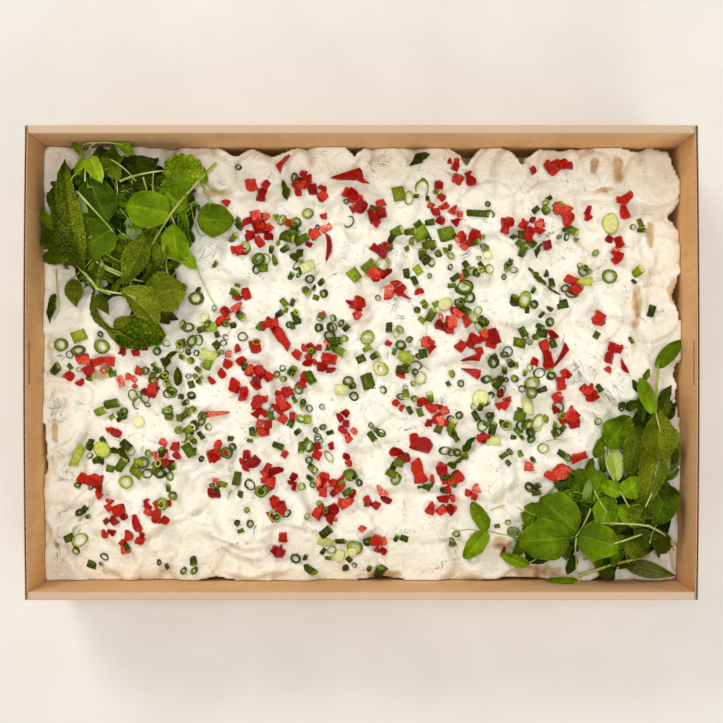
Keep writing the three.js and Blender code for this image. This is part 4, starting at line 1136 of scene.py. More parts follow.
def add_leaf(batch, lumps, kind, base, tip, width, lift, tone, roll=0.0, fold=0.12, bend=0.0, bloom=0.0,
             curl=0.0, wave=1.0, quilt=None, scallops=0, halves=None, seen=True):
    """One leaf as a thin wavy solid, its two faces split alike. Its base and tip are read on the plane
    of sight. It lies lift above what carries it, rolls about its midrib, folds along it, bends sideways,
    curls down towards its tip, waves along its margins, and may be quilted or scalloped."""
    columns, rows = GRIDS[kind]
    ends = []
    for x, y in (base, tip):
        z = min(float(carried(lumps, x, y)) + lift, HEIGHT - 1)
        if seen:
            x, y = sighted(x, y, z)
            z = min(float(carried(lumps, x, y)) + lift, HEIGHT - 1)
        ends.append(np.array([x, y, z]))
    axis = ends[1] - ends[0]
    length = np.linalg.norm(axis)
    middle = (ends[0] + ends[1]) / 2
    below = float(carried(lumps, middle[0], middle[1]))
    arch = np.clip(below + lift - middle[2], 0.03 * length, 0.3 * length)
    along = axis / length
    side = np.cross([0, 0, 1], along)
    side /= np.linalg.norm(side)
    up = np.cross(along, side)
    angle = math.radians(roll)
    side, up = side * math.cos(angle) + up * math.sin(angle), up * math.cos(angle) - side * math.sin(angle)
    u, v = np.meshgrid(np.linspace(-1, 1, columns + 1), np.linspace(0, 1, rows + 1))
    u, v = u.ravel(), v.ravel()
    out = np.abs(u)
    skew, pointed = OUTLINES[kind]
    outline = 0.5 * np.sin(np.pi * v**skew) ** pointed
    phase = 3.1 * base[0] + 1.7 * base[1]
    if kind == "mint":
        outline = outline * (1 + 0.1 * np.abs(((v * MINT_TEETH) % 1) * 2 - 1))
    elif scallops:
        outline = outline * (0.86 + 0.22 * np.abs(np.sin(np.pi * scallops * v + 0.4 * u)))
    else:
        waves = 1 + 0.06 * np.sin(7 * v + phase + u) + 0.035 * np.sin(15 * v + 2 * phase - 2 * u)
        outline = outline * waves
    half = np.maximum(0.25, width * outline)
    ruffle = wave * width * (0.085 * out**1.6 * np.sin(11 * v + 2.2 * u + phase)
                             + 0.03 * out * np.sin(23 * v - 3 * u + phase))
    pairs, slant = VEINS[kind]
    veins = np.pi * (pairs * v - slant * out)
    if kind == "mint":
        cushions = np.abs(np.sin(veins)) * blend(0.02, 0.3, out)
        ruffle = ruffle + 0.75 * cushions * (0.6 + 0.4 * np.abs(np.sin(7 * out + phase)))
    else:
        ruffle = ruffle - 0.3 * np.abs(np.cos(veins)) ** 6 * out * (1 - out)
    rise = 4 * arch * v * (1 - v) - curl * length * v**3 + fold * out * half + ruffle + 0.06 * width * u**2
    points = (ends[0] + np.outer(v, axis) + np.outer(u * half, side) + np.outer(rise, up)
              + np.outer(4 * bend * length * v * (1 - v), side))
    points = inside_walls(points, GAP)
    points[:, 2] = np.minimum(points[:, 2], HEIGHT - 0.2)
    lower = points - up * LEAF_THICKNESS
    count = len(points)
    row = columns + 1
    faces = []
    for j in range(rows):
        for a in range(j * row, j * row + columns):
            faces += [(a, a + 1, a + row + 1, a + row),
                      (a + count, a + row + count, a + row + 1 + count, a + 1 + count)]
    border = (list(range(columns)) + [j * row + columns for j in range(rows)]
              + [rows * row + i for i in range(columns, 0, -1)] + [j * row for j in range(rows, 0, -1)])
    for a, b in zip(border, border[1:] + border[:1]):
        faces.append((a, a + count, b + count, b))
    uv = np.stack([(u + 1) / 2, v], 1)
    # Painted light: one half of the blade is lighter than the other, by uneven or by halves where given, as
    # the shade on a folded leaf. The margins are lighter, a painted highlight where they catch the light.
    uneven = 0.06 * math.sin(phase) if halves is None else halves
    x, y = points[:, 0], points[:, 1]
    shade = (tone + 0.13 * swell(x, y, 9, 31) + 0.05 * swell(x, y, 3, 32) + 0.12 * blend(0.84, 1, out)
             + uneven * np.sign(u))
    grey = bloom + 0.12 * swell(x, y, 5, 33) * (bloom > 0)
    batch.add(np.concatenate([points, lower]), faces, uv=np.concatenate([uv, uv]),
              tone=np.concatenate([shade, shade + 0.1]), bloom=np.concatenate([grey, np.full(count, 0.45)]),
              quilt=QUILT[kind] if quilt is None else quilt)


def ends_of(x, y, length, turn):
    """The two ends of a line whose middle is at x, y."""
    reach_x, reach_y = math.cos(turn) * length / 2, math.sin(turn) * length / 2
    return (x - reach_x, y - reach_y), (x + reach_x, y + reach_y)


def model_shards():
    """Torn herb leaves among the toppings."""
    batch = Batch()
    for shape, x, y, length, width, turn, ripe in FEATURED:
        if shape == "shard":
            add_leaf(batch, [], "shard", *ends_of(x, y, length, math.radians(turn)), 0.75 * width, 1.0, ripe,
                     roll=40 * math.sin(x), fold=0.8, curl=0.1, wave=2.6, seen=False)
    return shown(batch.mesh("torn_herbs"), MINT_LEAF)


def spot_in(lumps, reach):
    """A random place over one of a bunch's lumps, out to a share of its half length and half width."""
    (cx, cy, _), (half_length, half_width, _) = lumps[int(draw() * len(lumps))]
    away = reach * math.sqrt(draw())
    way = 2 * math.pi * draw()
    return cx + half_length * away * math.cos(way), cy + half_width * away * math.sin(way)


def model_tangle(name, lumps, count, holes):
    """The small leaves of a bunch that fill it between the large ones, darker the deeper they lie, as painted
    shade.
    """
    batch = Batch()
    made = 0
    while made < count:
        x, y = spot_in(lumps, 0.97)
        length = 7 + 9 * draw()
        width = length * (0.35 + 0.4 * draw())
        base, tip = ends_of(x, y, length, 2 * math.pi * draw())
        depth = draw()
        roll = spread_over(110)
        places = [(base[0] + share * (tip[0] - base[0]), base[1] + share * (tip[1] - base[1]))
                  for share in (0, 0.25, 0.5, 0.75, 1)]
        if from_wall(x, y) < HERB_MARGIN or any(within(px, py, holes) for px, py in places):
            continue
        made += 1
        # The lower a leaf lies, the lower its tone: painted shade deep in the bunch.
        add_leaf(batch, lumps, "shard", base, tip, width, -2 + 4.5 * depth, 0.04 + 0.5 * depth**1.6,
                 roll=roll, fold=0.5 * draw(), curl=0.2 * draw(), wave=2.5, seen=False)
    return shown(batch.mesh(name), PEA_LEAF)


def model_core(name, lumps, holes):
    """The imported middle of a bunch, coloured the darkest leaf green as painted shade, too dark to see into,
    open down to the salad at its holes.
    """
    parts = []
    for centre, halves in lumps:
        bpy.ops.mesh.primitive_uv_sphere_add(segments=36, ring_count=18, radius=1)
        ball = bpy.context.object
        ball.scale = [(half - CORE_INSET) * MM for half in halves]
        ball.location = [c * MM for c in centre]
        parts.append(ball)
    activate(*parts)
    bpy.ops.object.join()
    bpy.ops.object.transform_apply(location=True, rotation=True, scale=True)
    obj = bpy.context.object
    obj.name = name
    remesh = obj.modifiers.new("merge", "REMESH")
    remesh.mode = "VOXEL"
    remesh.voxel_size = CORE_VOXEL * MM
    bpy.ops.object.modifier_apply(modifier="merge")
    points = points_of(obj) / MM
    rough = 1.4 * swell(points[:, 0] + points[:, 2], points[:, 1], 4, 41)
    points[:, 2] = np.minimum(points[:, 2] + rough, HEIGHT - 2)
    for x, y, radius in holes:
        middle = sighted(x, y, FILL)
        away = np.hypot(points[:, 0] - middle[0], points[:, 1] - middle[1])
        over = np.maximum(0, points[:, 2] - ground(points[:, 0], points[:, 1]) + 2)
        points[:, 2] -= over * blend(1.3 * radius, 0.9 * radius, away)
    place_points(obj, inside_walls(points, 1))
    # Tone 0.04, the darkest leaf green, paints the shade inside the bunch.
    for value, amount in (("tone", 0.04), ("bloom", 0.0), ("quilt", 0.0)):
        store(obj, value, np.full(len(points), amount))
    obj.data.uv_layers.new(name="UVMap")
    return shown(obj, PEA_LEAF)


def stray_stems(lumps, count, holes):
    """Short stems and tendrils that run through a bunch in all directions."""
    rows = []
    while len(rows) < count:
        x, y = spot_in(lumps, 0.85)
        heading = 2 * math.pi * draw()
        bend = spread_over(1.1)
        step = 3 + 4 * draw()
        lift = 6 * draw()
        thickness = 0.45 + 0.9 * draw() ** 2
        line = []
        for k in range(4):
            line.append((x, y, lift + spread_over(1.5)))
            x += step * math.cos(heading + bend * k)
            y += step * math.sin(heading + bend * k)
        if not any(within(px, py, holes) or from_wall(px, py) < HERB_MARGIN for px, py, _ in line):
            rows.append((thickness, line))
    return rows


def tubes(name, lines, roundness, material):
    """Round tubes along smooth paths, as one mesh. A line holds x, y, z and thickness for each point."""
    curve = bpy.data.curves.new(name, "CURVE")
    curve.dimensions = "3D"
    curve.bevel_depth = 0.5 * MM
    curve.bevel_resolution = roundness
    curve.use_fill_caps = True
    curve.resolution_u = 4
    for line in lines:
        spline = curve.splines.new("NURBS")
        spline.points.add(len(line) - 1)
        spline.use_endpoint_u = True
        spline.order_u = 3
        for point, (x, y, z, thickness) in zip(spline.points, line):
            point.co = (x * MM, y * MM, z * MM, 1)
            point.radius = thickness
    obj = bpy.data.objects.new(name, curve)
    bpy.context.collection.objects.link(obj)
    activate(obj)
    bpy.ops.object.convert(target="MESH")
    return shown(bpy.context.object, material)


def model_stems(name, lumps, rows):
    """A bunch's stems and tendrils, each thinner towards its end."""
    lines = []
    for thickness, places in rows:
        line = []
        for i, (x, y, lift) in enumerate(places):
            z = float(carried(lumps, x, y)) + lift
            x, y = inside_walls(np.array([sighted(x, y, z)]), STEM_MARGIN)[0].tolist()
            line.append((x, y, min(z, HEIGHT - 1.2), thickness * (1 - 0.45 * i / (len(places) - 1))))
        lines.append(line)
    return tubes(name, lines, 2, STEM)


# The upper left bunch. A lump: its middle and half sizes. A leaf: base, tip, width, lift, tone, and what
# else it does; a low tone also paints the shade on leaves that lie in shadow. A stem: thickness, and the
# places and lifts along it. A hole: x, y, radius
LEFT_LUMPS = [
    ((-146, 82, 44), (30, 36, 20)), ((-113, 87, 44), (22, 24, 19)), ((-126, 48, 44), (24, 24, 11)),
]
LEFT_LEAVES = {
    "pea": [
        ((-147, 99), (-142, 118), 10, 2, 0.3, {"roll": 20}), ((-134, 100), (-139, 116), 11, 3, 0.35),
        ((-166, 72), (-176, 86), 6, 5, 0.45, {"roll": -20}),
        ((-110, 97), (-97, 84), 17, 3, 0.42, {"roll": 10}),
        ((-122, 82), (-127, 68), 10, 3, 0.4, {"bloom": 0.7}),
        ((-98, 86), (-94, 64), 7, 2, 0.5, {"roll": 25}),
        ((-139, 78), (-151, 101), 22, 4, 0.15, {"fold": 0.05}),
        ((-152, 76), (-157, 95), 8, 6, 0.45, {"bloom": 0.75}),
        ((-136, 74.5), (-157, 60), 22, 6, 0.25, {"fold": 0.08}),
        ((-149, 113), (-142.5, 99), 9, 11, 0.68, {"fold": 0.4}),
        ((-152, 112), (-157, 104), 5, 10, 0.6, {"fold": 0.4}),
        ((-109, 105), (-86, 106), 19, 6, 0.6, {"fold": 0.02, "scallops": 5, "quilt": 0.9}),
        ((-106, 105), (-96, 93), 16, 5, 0.5), ((-92, 108), (-85, 99), 8, 6, 0.48),
        ((-105, 82), (-129.5, 87), 21, 8, 0.52, {"fold": 0.05}),
        ((-104, 77), (-101, 56), 15, 7, 0.56, {"fold": 0.25}),
        ((-100, 62), (-91, 52), 8, 5, 0.72, {"fold": 0.35}),
        ((-90, 79), (-70, 78), 19, 2.5, 0.42, {"fold": 0.03}),
        ((-137, 18), (-107.5, 15.5), 20, 3, 0.2, {"quilt": 1.2}),
        ((-158, 122), (-154, 114), 4, 12, 0.5, {"fold": 0.3}),
        ((-137, 126), (-125, 114), 7, 14, 0.62, {"fold": 0.2}),
    ],
    "mint": [
        ((-130, 104), (-112, 112), 11, 1, 0.08), ((-112, 106), (-134, 111), 11, 1.5, 0.1),
        ((-124, 92), (-117, 104), 9, 2, 0.15), ((-133, 84), (-126, 100), 10, 1, 0.12),
        ((-160, 62), (-177, 76), 13, 3, 0.2, {"roll": -15}), ((-158, 60), (-177, 57), 9, 3, 0.28),
        ((-160, 76), (-172, 96), 9, 1, 0.14), ((-118, 69), (-120, 58), 10, 0, 0.1),
        ((-133, 70), (-135, 52), 10, 0, 0.16),
        ((-152, 50), (-163, 112), 14, 7, 0.2, {"roll": -12, "bend": -0.06, "fold": 0.35, "quilt": 1.4,
            "halves": -0.14}),
        ((-154, 52), (-171, 94), 9, 5, 0.06, {"roll": -30, "bend": -0.08, "quilt": 1.4}),
        ((-118, 70), (-131, 42), 14, 6, 0.31, {"fold": 0.25}),
        ((-140, 18.5), (-121, 9.5), 6, 3, 0.5, {"fold": 0.5, "roll": 20}),
        ((-113, 33), (-106, 22), 10, 2, 0.16), ((-120, 34), (-97, 42), 22, 5, 0.46, {"fold": 0.1}),
        ((-148, 41), (-129, 15.5), 5, 4, 0.28, {"bend": -0.2, "fold": 0.6, "roll": 25}),
        ((-145.5, 38.5), (-139, 27), 6.5, 4, 0.26, {"fold": 0.4}),
        ((-133, 40.5), (-113, 21), 17, 8, 0.52, {"fold": 0.55, "roll": -32}),
        ((-136, 20.5), (-125, 25.5), 6, 4, 0.44, {"fold": 0.3}),
        ((-158, 46), (-157, 31), 10, 3, 0.3, {"fold": 0.4}), ((-145, 62), (-150, 49), 9, 2, 0.2),
        ((-168, 38), (-171, 22), 6, 1, 0.16, {"roll": 30}), ((-110, 28), (-101, 24), 5, 2, 0.14),
        ((-109, 68), (-112, 52), 9, 3, 0.34), ((-118, 80), (-112, 68), 8, 2, 0.22),
    ],
}
LEFT_STEMS = [
    (1.9, [(-80, 110, 4), (-88, 102, 6), (-98, 91, 9), (-105, 82, 10), (-112, 71, 8), (-117, 62, 4)]),
    (1.3, [(-156, 94, 10), (-147, 84, 11), (-138, 74.5, 9), (-134, 68, 3)]),
    (1.5, [(-133, 100, 5), (-122, 105, 7), (-106, 106, 7)]),
    (1.5, [(-88, 99, 5), (-84.5, 92, 5), (-83, 87, 5)]), (1.5, [(-90, 102, 4), (-80, 94, 3), (-76, 93, 2)]),
    (1.1, [(-120, 102, 4), (-118, 95, 7), (-117, 91, 8)]),
    (2.0, [(-158, 56, 4), (-148, 45, 5), (-145, 40, 6), (-138, 38, 5)]),
    (1.5, [(-146, 56, 4), (-134, 50, 5), (-124, 46, 4)]),
    (1.5, [(-144, 54, 4), (-133, 47, 5), (-120, 45, 4)]),
    (1.2, [(-150, 108, 9), (-155, 118, 14), (-152, 123, 18), (-147, 125, 20), (-137, 126, 19),
        (-131, 120, 15)]),
    (1.0, [(-152, 100, 8), (-152, 112, 12), (-149, 121, 16), (-146, 124, 18)]),
    (0.9, [(-168, 52, 4), (-167.5, 40, 3), (-165.5, 29, 1.5), (-169.5, 23.5, 0.6)]),
    (0.8, [(-160, 100, 8), (-158, 105, 9), (-154.5, 104.5, 9)]),
    (0.8, [(-91, 54, 2), (-87, 42, 0.7), (-80, 31, 0.4)]),
    (1.4, [(-146, 41, 8), (-138, 39, 9), (-129, 38, 8), (-124, 36, 7)]),
    (1.0, [(-105, 82, 8), (-101, 72, 6), (-98, 64, 5)]),
    (1.2, [(-118, 62, 3), (-112, 60, 6), (-104, 57, 6), (-95, 58, 5)]),
    (1.0, [(-160, 46, 5), (-152, 52, 6), (-146, 60, 5)]),
    (0.8, [(-94, 88, 5), (-92, 76, 3), (-88, 68, 1), (-84, 72, 0.6)]),
    (1.0, [(-138, 112, 10), (-130, 108, 9), (-124, 100, 6)]),
]
LEFT_HOLES = [(-133.5, 30, 7), (-142, 44, 3), (-96, 56, 3)]

# The lower right bunch, likewise
RIGHT_LUMPS = [
    ((148, -86, 43), (28, 26, 18)), ((160, -50, 43), (14, 28, 14)), ((113, -93, 42), (24, 15, 12)),
    ((125, -70, 42), (13, 9, 11)),
]
RIGHT_LEAVES = {
    "pea": [
        ((169, -62), (173, -43), 9, 3, 0.42, {"bloom": 0.5}),
        ((140.5, -65), (137.5, -43), 9, 1.5, 1.0, {"fold": 0.1, "bloom": 0.15}),
        ((128, -102), (136, -119), 10, 1, 0.26), ((118, -106), (113, -116), 6, 1, 0.2),
        ((108, -99), (90, -108), 12, 0, 0.14), ((92, -94), (83, -107), 7, 1, 0.3),
        ((161, -89), (170, -67), 18, 4, 0.3, {"roll": -14}),
        ((134, -46), (147.5, -29), 17, 5, 0.44, {"fold": 0.04}),
        ((128, -52), (134, -40), 7, 3, 0.4, {"fold": 0.3}), ((124, -60), (127, -52), 5, 3, 0.36),
        ((134, -60), (131, -52), 5, 3, 0.4), ((115, -64), (137, -72), 19, 3, 0.32),
        ((118, -78), (118, -62), 8, 5, 0.3, {"roll": 30}),
        ((122, -77), (125, -63), 5, 6, 0.48, {"bloom": 0.35}),
        ((133, -90), (135, -73), 15, 5, 0.5, {"fold": 0.06}),
        ((143, -72), (154, -64), 12, 8, 0.6, {"fold": 0.05}),
        ((143, -72), (132, -66), 9, 8, 0.54, {"fold": 0.15}), ((152, -88), (141, -78), 11, 4, 0.46),
        ((119, -93), (98, -74), 23, 7, 0.42, {"fold": 0.03}),
        ((115, -95.5), (86, -98), 23, 8, 0.4, {"fold": 0.03}),
        ((118.6, -94.6), (142, -101), 21, 8, 0.4, {"fold": 0.03}),
        ((119, -119), (102, -120), 5.5, 8, 0.5, {"fold": 0.3}),
        ((86, -95), (81, -90), 6, 2, 0.4, {"bloom": 0.6}),
        ((92, -111), (76, -105), 7, 3, 0.62, {"fold": 0.3}),
        ((160, -28), (153, -8), 9, 4, 0.55, {"fold": 0.25}),
        ((156, -22), (154, -12), 5, 6, 0.66, {"fold": 0.2}), ((152, -16), (149, -9), 3.5, 2, 0.2),
        ((155, -10), (158, -3), 3.5, 3, 0.22), ((162, -2), (176, 13), 9, 4, 0.44, {"fold": 0.2}),
        ((69, -92), (60.5, -76), 9, 2.5, 0.44, {"fold": 0.12}),
        ((69, -92), (56, -107), 11, 2.5, 0.56, {"fold": 0.12}),
    ],
    "mint": [
        ((168, -60), (170, -40), 10, 0, 0.14), ((152, -80), (150, -60), 12, 0, 0.14),
        ((130, -92), (150, -84), 10, 1, 0.14),
        ((145, -111), (173, -117), 9, 4.5, 0.34, {"fold": 0.3, "bloom": 0.2}),
        ((122, -82), (134, -92), 10, 0, 0.12), ((160, -90), (164, -106), 11, 1, 0.16, {"roll": -20}),
        ((144, -97), (158, -104), 13, 3, 0.3, {"fold": 0.2}), ((150, -92), (160, -100), 9, 4, 0.22),
        ((163, -22), (170, -12), 6, 3, 0.22, {"fold": 0.4}),
        ((164, -30), (168, -17), 7, 3, 0.24, {"fold": 0.3}), ((168, -32), (172, -20), 6, 2, 0.2),
        ((163, -54), (163, -26), 19, 5, 0.38, {"fold": 0.2, "quilt": 0.5}),
        ((160, -44), (154, -79), 15, 4, 0.36, {"bend": 0.05, "quilt": 0.5}),
        ((168, -46), (158, -76), 8, 5, 0.5, {"bloom": 0.45, "roll": -25}),
        ((152, -34), (146, -65), 13, 6, 0.33, {"fold": 0.3, "quilt": 0.5}),
        ((147, -90), (156, -78), 10, 4, 0.3), ((154, -56), (150, -72), 9, 2, 0.26),
        ((165, -78), (160, -62), 10, 2, 0.2),
    ],
}
RIGHT_STEMS = [
    (1.5, [(163, -1.5, 3), (162, -19.5, 5), (161, -26, 6), (164.4, -38, 8)]),
    (1.5, [(134, -46, 5), (134, -56, 5), (138, -63, 7), (143, -72, 10), (147, -79, 7)]),
    (1.3, [(131, -88, 6), (144, -88, 9), (157, -89, 8), (166, -93, 5), (174, -100, 3)]),
    (1.3, [(157, -89, 8), (163, -92, 6), (168, -95, 4), (172, -103, 2)]),
    (2.0, [(119, -117, 4), (128, -114, 5), (139, -110, 6), (150, -108, 6), (158.5, -106, 4)]),
    (1.1, [(118, -96, 10), (117, -103, 10), (118.5, -109, 9), (117.5, -116, 8)]),
    (1.3, [(126, -80, 6), (123, -88, 8), (118, -95, 10)]),
    (1.0, [(69, -92, 3), (78, -94.5, 2.5), (88, -95.5, 3), (98, -95, 6)]),
    (0.7, [(70.6, -81, 1), (75, -78.6, 1), (80, -78, 1), (87, -79.5, 1.2), (98, -85, 4)]),
    (0.7, [(69, -93, 2), (62, -91.5, 1), (57, -91, 0.7), (49, -93.5, 0.5)]),
    (0.6, [(127, -27, 0.8), (132, -32.5, 2), (134, -43.5, 5)]),
    (0.5, [(147, -28.6, 4), (151, -26, 3), (156, -25, 2)]),
    (1.0, [(92, -110, 3), (97, -107, 4), (104, -101, 5)]),
    (0.8, [(120, -118, 8), (121, -124, 12), (117, -130, 16)]),
    (1.2, [(173, -41, 4), (168, -54, 7), (162, -66, 8), (156, -79, 7)]),
    (0.6, [(101, -43, 0.6), (108, -41, 0.8), (112, -43, 0.6)]),
    (1.2, [(128, -70, 6), (131, -77, 7), (135, -82, 7)]),
    (1.0, [(118, -62, 5), (114, -70, 5), (114, -80, 6)]),
    (1.3, [(136, -100, 8), (146, -97, 7), (154, -94, 6)]),
    (1.2, [(122, -108, 6), (130, -108, 6), (140, -104, 6)]),
    (0.6, [(78, -117, 0.6), (84, -112, 0.8), (92, -110, 2)]),
]
RIGHT_HOLES = [(140, -53, 7), (143, -62, 4), (164, -112, 5), (172, -90, 3)]

LEFT_TANGLE, RIGHT_TANGLE = 210, 170  # small leaves that fill each bunch
LEAVES_PER_STEM = 6  # of those, for each stray stem


def model_bunch(side, lumps, leaves, stems, holes, tangle):
    """One bunch: its dark core, the tangle over it, its pea and mint leaves and its stems."""
    core = model_core(f"herb_core_{side}", lumps, holes)
    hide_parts(f"herb_bunch_{side}")
    model_tangle(f"herb_tangle_{side}", lumps, tangle, holes)
    for kind, material in (("pea", PEA_LEAF), ("mint", MINT_LEAF)):
        batch = Batch()
        for base, tip, width, lift, tone, *habit in leaves[kind]:
            add_leaf(batch, lumps, kind, base, tip, width, lift, tone, **dict(*habit))
        shown(batch.mesh(f"{kind}_leaves_{side}"), material)
    strays = stray_stems(lumps, tangle // LEAVES_PER_STEM, holes)
    model_stems(f"pea_stems_{side}", lumps, stems + strays)


# Fronds of dill in the dressing: x, y, how far they spread, how many
DILL_CLUMPS = [
    (125, -4, 8, 12), (139, -19, 7, 5), (110, 66, 13, 9), (98, 74, 8, 4), (-84, 66, 7, 4), (21, 36, 12, 6),
    (-29, 32, 10, 4), (10, 112, 9, 3), (51, 110, 7, 3), (-173, -30, 6, 8), (-170, -60, 8, 8),
    (-166, -92, 9, 9), (-172, 6, 5, 4), (-136, -43, 14, 5), (44, -114, 10, 4), (51, -103, 9, 5),
    (91, -98, 9, 5), (-60, -84, 30, 6), (148, 60, 16, 5), (62, 84, 10, 4), (-8, 62, 12, 4),
    (0, -30, 80, 14), (70, 10, 60, 8), (-110, -60, 50, 9), (-40, 88, 40, 6), (20, 8, 20, 4),
    (160, 25, 8, 4),
]

# The fronds that stand out: where each starts, its heading in degrees, how many threads, their length
FANS = [
    (121, 1, -68, 9, 12), (137, -17, -52, 6, 8), (103, 72, -24, 8, 12), (18, 38, -60, 6, 8),
    (35, 16, -50, 7, 9), (-172.5, -100, -84, 9, 14), (-173, -16, -80, 6, 12), (46, -113, 10, 5, 9),
    (-86, 68, -35, 6, 9), (-153, -84, 60, 5, 7), (56, 60, 20, 5, 8), (10, 113, -15, 5, 7),
]


def dill_fronds():
    """A few threads for each frond, spreading from one end and lying on the dressing."""
    lines = []

    def thread(x, y, heading, bend, length, thickness):
        line = []
        for k in range(4):
            if from_wall(x, y) < DILL_MARGIN or within(x, y, COVERED):
                return
            line.append((x, y, float(ground(x, y)) + 0.04, thickness * (1 - 0.15 * k)))
            x += length / 3 * math.cos(heading + bend * k)
            y += length / 3 * math.sin(heading + bend * k)
        lines.append(line)

    for cx, cy, spread, count in DILL_CLUMPS:
        for _ in range(count):
            x = cx + spread_over(2 * spread)
            y = cy + spread_over(2 * spread)
            heading = 2 * math.pi * draw()
            bend = spread_over(0.7)
            for _ in range(2 + int(5 * draw())):
                thread(x + spread_over(1.6), y + spread_over(1.6), heading + spread_over(0.7),
                       bend + spread_over(0.3), 1.5 + 6 * draw() ** 1.5, 0.15 + 0.09 * draw())
    chance = np.random.RandomState(33)
    for x, y, heading, count, length in FANS:
        for _ in range(count):
            thread(x + chance.uniform(-2, 2), y + chance.uniform(-2, 2),
                   math.radians(heading + chance.uniform(-13, 13)), chance.uniform(-0.12, 0.12),
                   length * chance.uniform(0.5, 1), chance.uniform(0.22, 0.32))
    return lines


def model_dill():
    """All the dill in the dressing."""
    return tubes("dill_fronds", dill_fronds(), 0, DILL)


# The tray

def soft_board(name, low, high, soft):
    """A sheet of board between two corners, with its folds rounded."""
    low, high = np.array(low, float), np.array(high, float)
    bpy.ops.mesh.primitive_cube_add(size=1, location=(low + high) / 2 * MM, scale=(high - low) * MM)
    bpy.ops.object.transform_apply(location=True, rotation=True, scale=True)
    obj = bpy.context.object
    obj.name = name
    rounded = obj.modifiers.new("folds", "BEVEL")
    rounded.width = soft * MM
    rounded.segments = 3
    bpy.ops.object.modifier_apply(modifier="folds")
    return obj


def bowed_layer(name, side, out, thickness, top, low=BOARD, wave=0.0, slit=True):
    """One paper layer of a short wall, out from the wall's inner face. The lock slit is cut in the two
    liners, and the middle layer, which waves between them along the rim, shows dark in it: its dark colour is
    painted shade for the slit's opening."""
    slit_middle = HEIGHT - SLIT["below_rim"]
    slit_low = slit_middle - SLIT["height"] / 2
    slit_end = SLIT["length"] / 2
    if wave:
        levels = [low, top]
        stations = np.linspace(-WIDTH / 2 + 0.6, WIDTH / 2 - 0.6, int(8 * WIDTH / FLUTE_PITCH))
    else:
        levels = [low, 35, slit_low, slit_low + SLIT["height"], top - 1.2, top]
        stations = np.sort(np.append(np.linspace(-WIDTH / 2, WIDTH / 2, 33), [-slit_end, slit_end]))
    bpy.ops.mesh.primitive_grid_add(x_subdivisions=len(levels) - 1, y_subdivisions=len(stations) - 1, size=2)
    obj = bpy.context.object
    obj.name = name
    flat = points_of(obj)
    z = np.array(levels)[step_of(flat[:, 0], len(levels) - 1)]
    y = stations[step_of(flat[:, 1], len(stations) - 1)]
    bulge = BOW * (1 - np.clip(y / HALF_WIDTH, -1, 1) ** 2)
    x = side * (HALF_LENGTH + out + bulge + wave * np.sin(2 * np.pi * y / FLUTE_PITCH))
    place_points(obj, np.stack([x, y, z], 1))
    if slit:
        edit_all()
        pick_faces(lambda centre, normal: abs(centre.y) < slit_end * MM
                   and abs(centre.z - slit_middle * MM) < SLIT["height"] / 2 * MM)
        bpy.ops.mesh.delete(type="FACE")
        bpy.ops.object.mode_set(mode="OBJECT")
    paper = obj.modifiers.new("paper", "SOLIDIFY")
    paper.thickness = thickness * MM
    paper.offset = 0
    bpy.ops.object.modifier_apply(modifier="paper")
    return obj


def joined(name, parts, material):
    """Several parts of the tray as one piece, its normals facing out."""
    activate(*parts)
    bpy.ops.object.join()
    obj = bpy.context.object
    obj.name = name
    bpy.ops.object.mode_set(mode="EDIT")
    face_outwards()
    obj.data.materials.clear()
    obj.data.materials.append(material)
    bpy.ops.object.shade_smooth_by_angle(angle=math.radians(40))
    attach(obj, "root")
    return obj


def cut_slots(floor):
    """Cuts shallow slots in the underside, where the tabs that hold the long walls end."""
    for end in (-1, 1):
        for side in (-1, 1):
            place = (end * SLOT["apart"] / 2 * MM, side * (HALF_WIDTH + BOARD / 2) * MM, 0)
            size = (SLOT["length"] * MM, BOARD * MM, 2 * SLOT["depth"] * MM)
            bpy.ops.mesh.primitive_cube_add(size=1, location=place, scale=size)
            tool = bpy.context.object
            cut = floor.modifiers.new("slot", "BOOLEAN")
            cut.object = tool
            cut.operation = "DIFFERENCE"
            bpy.context.view_layer.objects.active = floor
            bpy.ops.object.modifier_apply(modifier="slot")
            bpy.data.objects.remove(tool)


def model_tray():
    """The folded tray: its floor, the rolled long walls, and short walls of a single board whose cut
    edge shows the flutes between the liners."""
    end = LENGTH / 2 - FLOOR_INSET
    floor = soft_board("tray_floor", (-end, -WIDTH / 2, 0), (end, WIDTH / 2, BOARD), FLOOR_ROUND)
    cut_slots(floor)
    end = HALF_LENGTH - WALL_INSET
    plain = [floor,
             soft_board("far_wall", (-end, HALF_WIDTH, BOARD), (end, WIDTH / 2, HEIGHT), RIM_ROUND),
             soft_board("near_wall", (-end, -WIDTH / 2, BOARD), (end, -HALF_WIDTH, HEIGHT), RIM_ROUND)]
    core = []
    middle = BOARD / 2
    for name, side in (("left", -1), ("right", 1)):
        plain.append(bowed_layer(f"{name}_liner_in", side, LINER / 2, LINER, HEIGHT))
        plain.append(bowed_layer(f"{name}_liner_out", side, BOARD - LINER / 2, LINER, HEIGHT - 0.1))
        # The middle layer is left whole at the lock slit, and its dark colour there is painted shade.
        core.append(bowed_layer(f"{name}_core", side, middle, BOARD - 2 * LINER, HEIGHT - FLUTE["core"],
                                slit=False))
        core.append(bowed_layer(f"{name}_flute", side, middle, FLUTE["paper"], HEIGHT - FLUTE["top"],
                                low=HEIGHT - FLUTE["low"], wave=FLUTE["swing"], slit=False))
    tray = joined("kraft_tray", plain, KRAFT)
    z = points_of(tray)[:, 2] / MM
    # fold: paler along the rim's top, partly the stretched fold and partly painted light where the top
    # catches more light, and paler along the bottom edge.
    store(tray, "fold", np.maximum(blend(HEIGHT - 1.1, HEIGHT - 0.2, z), 0.6 * blend(1.2, 0.3, z)))
    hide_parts("catering_box")
    joined("board_fluting", core, FLUTING)


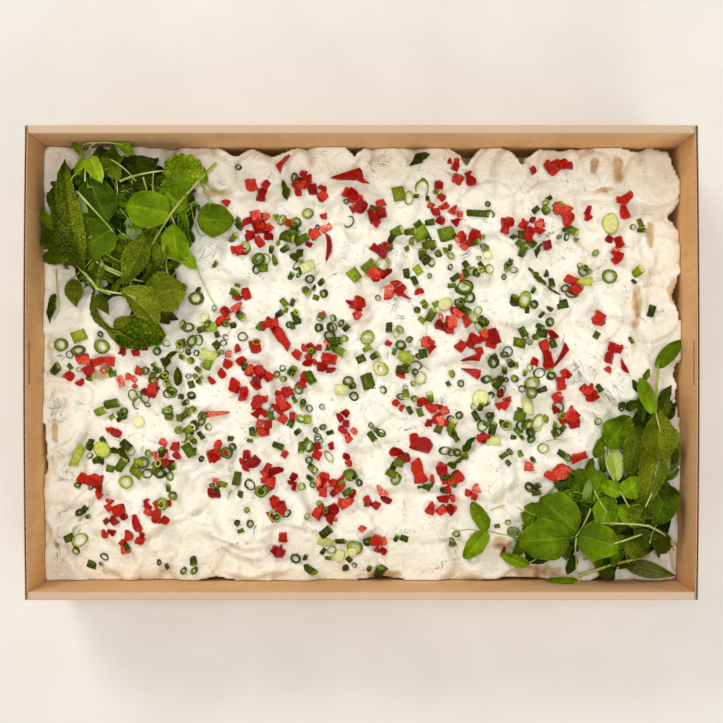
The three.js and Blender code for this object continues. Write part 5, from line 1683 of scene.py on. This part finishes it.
# Light and camera

# Square lamps: name, place and side in metres, power in watts
LAMPS = [
    ("window", (-0.75, 1.1, 1.3), 0.6, 11.6), ("reflector", (0.8, -1.1, 1.2), 1.0, 6.8),
    ("overhead", (0, 0, 1.6), 0.5, 8.1),
]
LAMP_WHITE = "#fffcf6"
SKY_WHITE, SKY_STRENGTH = "#fffefb", 0.61


def light(name, place, size, power):
    """A square lamp that faces the tray, in metres and watts."""
    lamp = bpy.data.lights.new(name, "AREA")
    lamp.shape = "SQUARE"
    lamp.size = size
    lamp.energy = power
    lamp.color = linear(LAMP_WHITE)[:3]
    obj = bpy.data.objects.new(name, lamp)
    obj.location = place
    obj.rotation_euler = (-obj.location).to_track_quat("-Z", "Y").to_euler()
    bpy.context.collection.objects.link(obj)


def set_scene():
    """The lamps, the plain floor and the camera."""
    scene = bpy.context.scene
    scene.view_settings.view_transform = "Standard"
    scene.world = bpy.data.worlds.new("studio")
    scene.world.use_nodes = True
    sky = scene.world.node_tree.nodes["Background"]
    add(scene.world.node_tree, sky, {"Color": SKY_WHITE, "Strength": SKY_STRENGTH})
    for lamp in LAMPS:
        light(*lamp)
    bpy.ops.mesh.primitive_plane_add(size=6)
    floor = bpy.context.object
    floor.name = "floor"
    floor.data.materials.append(FLOOR)
    lens = bpy.data.cameras.new("camera")
    lens.sensor_width = SENSOR
    lens.lens = SENSOR * FOCAL
    lens.shift_x = 0.5 - AXIS[0]
    lens.shift_y = AXIS[1] - 0.5
    lens.clip_start = 0.05
    camera = bpy.data.objects.new("camera", lens)
    camera.location = [c * MM for c in CAMERA]
    bpy.context.collection.objects.link(camera)
    scene.camera = camera


set_scene()
model_tray()
model_dressed_potato()
model_pepper()
model_chives()
model_shards()
model_dill()
model_bunch("left", LEFT_LUMPS, LEFT_LEAVES, LEFT_STEMS, LEFT_HOLES, LEFT_TANGLE)
model_bunch("right", RIGHT_LUMPS, RIGHT_LEAVES, RIGHT_STEMS, RIGHT_HOLES, RIGHT_TANGLE)
